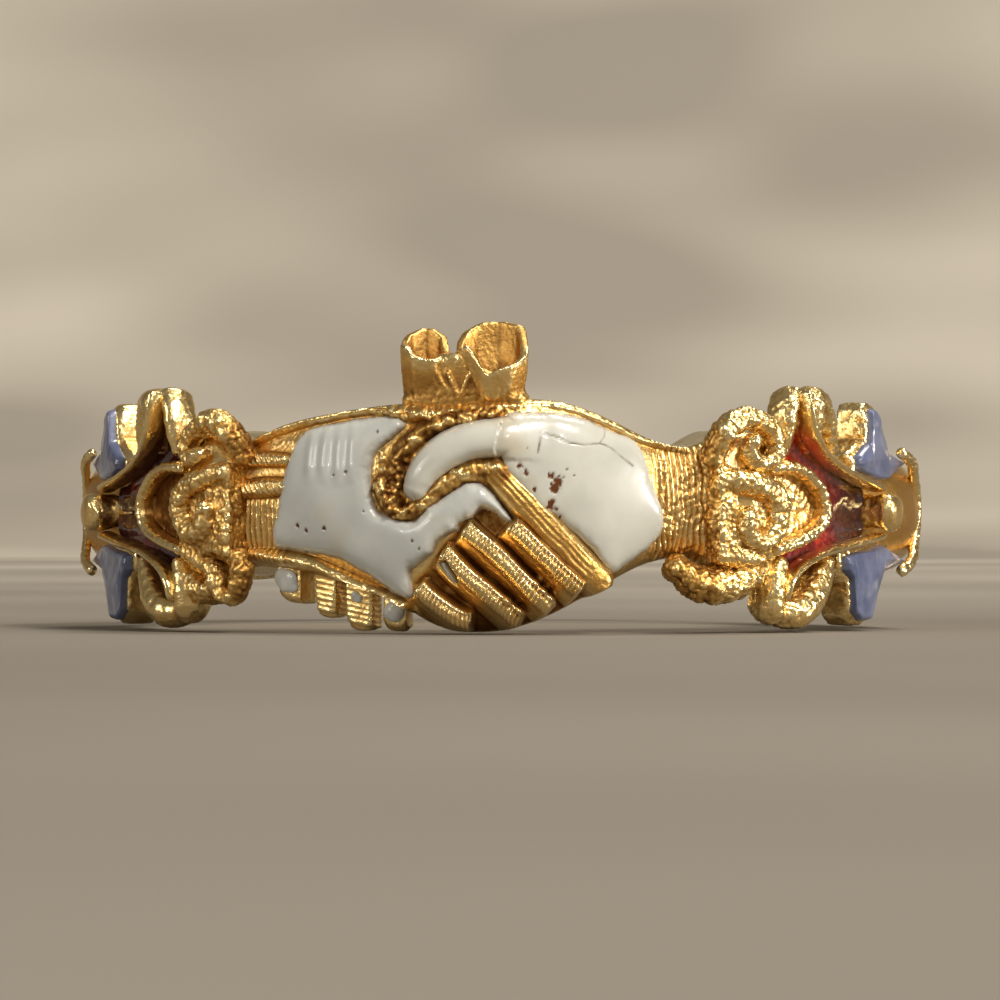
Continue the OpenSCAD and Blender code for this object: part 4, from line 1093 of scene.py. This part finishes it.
# %% Crest
CREST_R, CREST_FOOT_Z, CREST_WALL = 10.7, 2.5, 0.22
CUP_FLOOR_Z = CREST_FOOT_Z + 0.75
FACET_SHARP = 0.6


def cup(angle, half, depth, rim, sides):
    """A thin-walled cup: round it goes the way t, up it goes the share of the rim's height at t. The
    width of each level comes from a table, and its sides are flattened to facets."""
    t = np.linspace(0, 360, 168, endpoint=False)
    rows = smooth(CUP_LEVELS, 9)
    rim_t, rim_z = np.array(rim).T
    rim_at = np.interp(t, rim_t, rim_z, period=360)
    half_side = 180 / sides
    flat = np.cos(np.radians(half_side)) / np.cos(np.radians((t + 12) % (2 * half_side) - half_side))
    flat = FACET_SHARP * flat + 1 - FACET_SHARP
    middle = polar(angle, CREST_R, 0.0)

    def skin(inset):
        """The surface of the cup, moved in by inset."""
        x = (half * rows[:, :1] * flat - inset) * np.cos(np.radians(t))
        y = (depth * rows[:, 1:2] * flat - inset) * np.sin(np.radians(t))
        return middle + np.stack([x, y, CREST_FOOT_Z + (rim_at - CREST_FOOT_Z) * rows[:, 2:3]], -1)

    outer, inner = skin(0.0), skin(CREST_WALL)[::-1]
    inner = inner[inner[..., 2].mean(1) > CUP_FLOOR_Z]
    points, faces = capped(np.concatenate([outer, inner]))
    return points, [face[::-1] for face in faces]


CUP_LEVELS = [[0.84, 0.6, 0.0], [0.84, 0.62, 0.3], [0.96, 0.86, 0.68], [1.0, 1.0, 1.0]]
LEFT_RIM = [[0, 4.35], [40, 4.8], [70, 5.0], [110, 5.0], [150, 4.8], [180, 4.6], [215, 4.5], [245, 4.25],
            [270, 4.15], [300, 4.15], [330, 4.3]]
RIGHT_RIM = [
    [0, 4.5], [35, 5.08], [70, 5.18], [110, 5.18], [150, 4.9], [180, 4.45], [205, 4.4], [225, 4.5],
    [240, 4.3], [265, 3.72], [290, 3.9], [320, 4.05], [340, 4.2]]
CREST_FOOT = [
    [-8.6, 10.7, 3.02, 0.3, 0.52], [-3, 10.7, 3.25, 0.55, 0.5], [0, 10.7, 3.25, 0.55, 0.55],
    [7.0, 10.7, 3.05, 0.3, 0.6]]
CREST_WEB = [
    [-7.5, 2.8, 3.85], [-4.8, 2.8, 4.12], [-3.2, 2.8, 4.3], [-2.0, 2.8, 4.32], [0.2, 2.8, 4.05],
    [5.5, 2.8, 3.6]]
WIRE_SIZES = [[0.05, 0.07], [0.05, 0.07], [0.04, 0.06]]
WIRE_PLACES = [[[-5.9, 11.28, 3.95], [-5.2, 11.25, 3.68], [-4.6, 11.22, 3.45]],
               [[-5.3, 11.28, 4.08], [-4.4, 11.25, 3.72], [-3.3, 11.22, 3.34]],
               [[-3.0, 11.3, 3.78], [-2.3, 11.26, 3.45], [-1.5, 11.22, 3.1]],
               [[-0.1, 11.3, 3.74], [-0.8, 11.26, 3.4], [-1.2, 11.22, 3.08]],
               [[0.6, 11.3, 3.76], [1.2, 11.27, 3.55], [2.0, 11.24, 3.36]]]
CREST_WIRES = [[place + size for place, size in zip(wire, WIRE_SIZES)] for wire in WIRE_PLACES]


def filed(p):
    """Filed facets: grain only below the cups, on the rough foot."""
    return np.clip((3.55 - p[:, 2]) / 0.4, 0.15, 1)


def crest_low_dark_and_cup_shade(p):
    """Brown and satin on the lower front wall, clean on the wires, and painted shade down inside the cups."""
    _, out, z = unrolled(p)
    low = unit((4.15 - z) / 0.5) * np.clip((11.34 + p[:, 1]) / 0.05, 0.2, 1)
    return 0.2 * low + 0.17 * unit((11.0 - out) / 0.3) * (z > 3.4)


crest_forms = [cup(-6.7, 0.7, 0.8, LEFT_RIM, 7), cup(3.1, 1.02, 0.95, RIGHT_RIM, 8), tube(CREST_FOOT),
               plate(CREST_WEB, 10.6, 11.24, 0.1), *(tube(path, sides=8) for path in CREST_WIRES)]
cast("gold_crest", crest_forms, cast_gold, voxel=0.042, relax=2, grit=0.02, size=0.4, grains=0.04,
     grain_size=0.16, depth=0.2, shift=6.0, rub=filed, dirt_and_shade=crest_low_dark_and_cup_shade)

# %% [markdown]
# Four fingertips of the other hand show under the left hand: blunt blocks with a dark gap between each
# two, flat in front. Scraps of white enamel are left on three of them, in one piece of their own.

# %% Fingertips
FINGERTIPS = [
    sized([[-29.7, -2.05], [-29.2, -2.3], [-28.2, -2.42], [-26.8, -2.5], [-25.6, -2.5]], -1.3),
    sized([[-23.4, -2.5], [-22.9, -2.74], [-22.0, -2.84], [-21.0, -2.86], [-19.9, -2.84]], -1.4),
    sized([[-18.4, -2.9], [-17.9, -3.08], [-17.0, -3.18], [-15.6, -3.2], [-14.3, -3.16]], -1.7),
    sized([[-12.7, -2.98], [-12.2, -3.14], [-11.3, -3.22], [-10.0, -3.22], [-9.2, -3.1]], -2.0)]
TIP_LOW, TIP_TOP = 10.1, 10.95
TIP_CAPS = [
    [[-29.0, 10.95, -1.72, 0.26, 0.08], [-27.6, 10.98, -1.9, 0.34, 0.1], [-26.8, 10.95, -2.05, 0.18, 0.08]],
    [[-16.9, 10.96, -2.25, 0.14, 0.07], [-16.3, 10.96, -2.34, 0.14, 0.07]],
    [[-11.4, 10.86, -2.66, 0.3, 0.26], [-10.7, 10.86, -2.72, 0.3, 0.26]]]


def cut_lines(p):
    """Fine level grooves across the two middle fingertips."""
    at = unrolled(p)[0]
    return 0.014 * np.cos(2 * np.pi * (p[:, 2] + 0.2 * p[:, 0]) / 0.15) * window(at, -24, -14, 1)


cast("gold_fingertips", [plate(rows, TIP_LOW, TIP_TOP, 0.16) for rows in FINGERTIPS], cast_gold,
     voxel=0.045, relax=4, grit=0.05, size=0.4, shift=7.0, lines=cut_lines)
cast("white_enamel_fingertips", [tube(path, sides=24, steps=6) for path in TIP_CAPS], white_left, voxel=0.03,
     relax=2, grit=0.02, size=0.3, shift=9.0, slot="white_enamel", nodes=["white_enamel_right_hand"])

# %% [markdown]
# The ring stands in a pale studio: a floor that bends up into a backdrop, with painted shadow blotches on
# its paper and painted shade that darkens the near floor, one large soft light above and in front, and
# small ones that give the polished gold its glints.

# %% Floor, backdrop and lights
def sweep():
    """Floor and backdrop in one surface: a profile, flat, then a quarter circle, then upright, carried
    along a wide straight line."""
    bend = np.linspace(0, np.pi / 2, 24)
    y = np.concatenate([[-1.5, -0.5], 0.25 + 0.35 * np.sin(bend), [0.6]])
    z = np.concatenate([[0, 0], 0.35 - 0.35 * np.cos(bend), [1.6]]) + REST_Z * MM
    x = np.array([-1.8, 1.8])
    points = np.stack(np.broadcast_arrays(x[None, :], y[:, None], z[:, None]), -1).reshape(-1, 3)
    return new_object("studio_floor", points, [quad[::-1] for quad in grid_faces(len(y), 2)])


paper, paper_tree, paper_shader = shader("studio_paper", Roughness=0.9, Specular_IOR_Level=0.2)
# Painted shadow: large soft blotches of darker and lighter paper.
painted_shadow_blotches = scaled(paper_tree, grain(paper_tree, 22, 1.0), 0.35, 0.65)
# Painted shade: the near floor is painted far darker than the backdrop, against the stronger light it gets
# from above.
near = mix(paper_tree, painted_shadow_blotches, (0.19, 0.167, 0.135), (0.215, 0.19, 0.155))
far = mix(paper_tree, painted_shadow_blotches, (0.46, 0.415, 0.345), (0.76, 0.69, 0.575))
depth_of = add(paper_tree, "ShaderNodeSeparateXYZ")
paper_tree.links.new(add(paper_tree, "ShaderNodeTexCoord").outputs["Object"], depth_of.inputs["Vector"])
paper_tone_painted_shade = mix(paper_tree, scaled(paper_tree, depth_of.outputs["Y"], 0.0, 0.35), near, far)
paper_tree.links.new(paper_tone_painted_shade, paper_shader.inputs["Base Color"])
floor = sweep()
floor.data.materials.append(paper)


def lamp(name, where, size, power, colour=(1, 0.95, 0.88)):
    """An area light at a place in metres, facing the ring."""
    light = bpy.data.lights.new(name, "AREA")
    light.size, light.energy, light.color = size, power, colour
    obj = bpy.data.objects.new(name, light)
    obj.location = where
    obj.rotation_euler = (-obj.location).to_track_quat("-Z", "Y").to_euler()
    bpy.context.collection.objects.link(obj)


lamp("key", (0.2, -0.26, 0.32), 0.11, 1.6)
lamp("side", (0.36, -0.09, 0.05), 0.06, 0.75)
lamp("fill", (-0.3, -0.22, 0.14), 0.12, 0.3)
lamp("glint_left", (-0.26, -0.34, 0.1), 0.02, 0.16)
lamp("glint_right", (0.2, -0.42, 0.24), 0.02, 0.26)
lamp("back_wash", (0.12, 0.16, 0.5), 0.16, 1.3)
world = bpy.data.worlds.new("studio_air")
world.use_nodes = True
air = world.node_tree.nodes["Background"].inputs
air["Color"].default_value, air["Strength"].default_value = (0.4, 0.38, 0.34, 1), 0.5
bpy.context.scene.world = world
bpy.context.scene.view_settings.view_transform = "Standard"
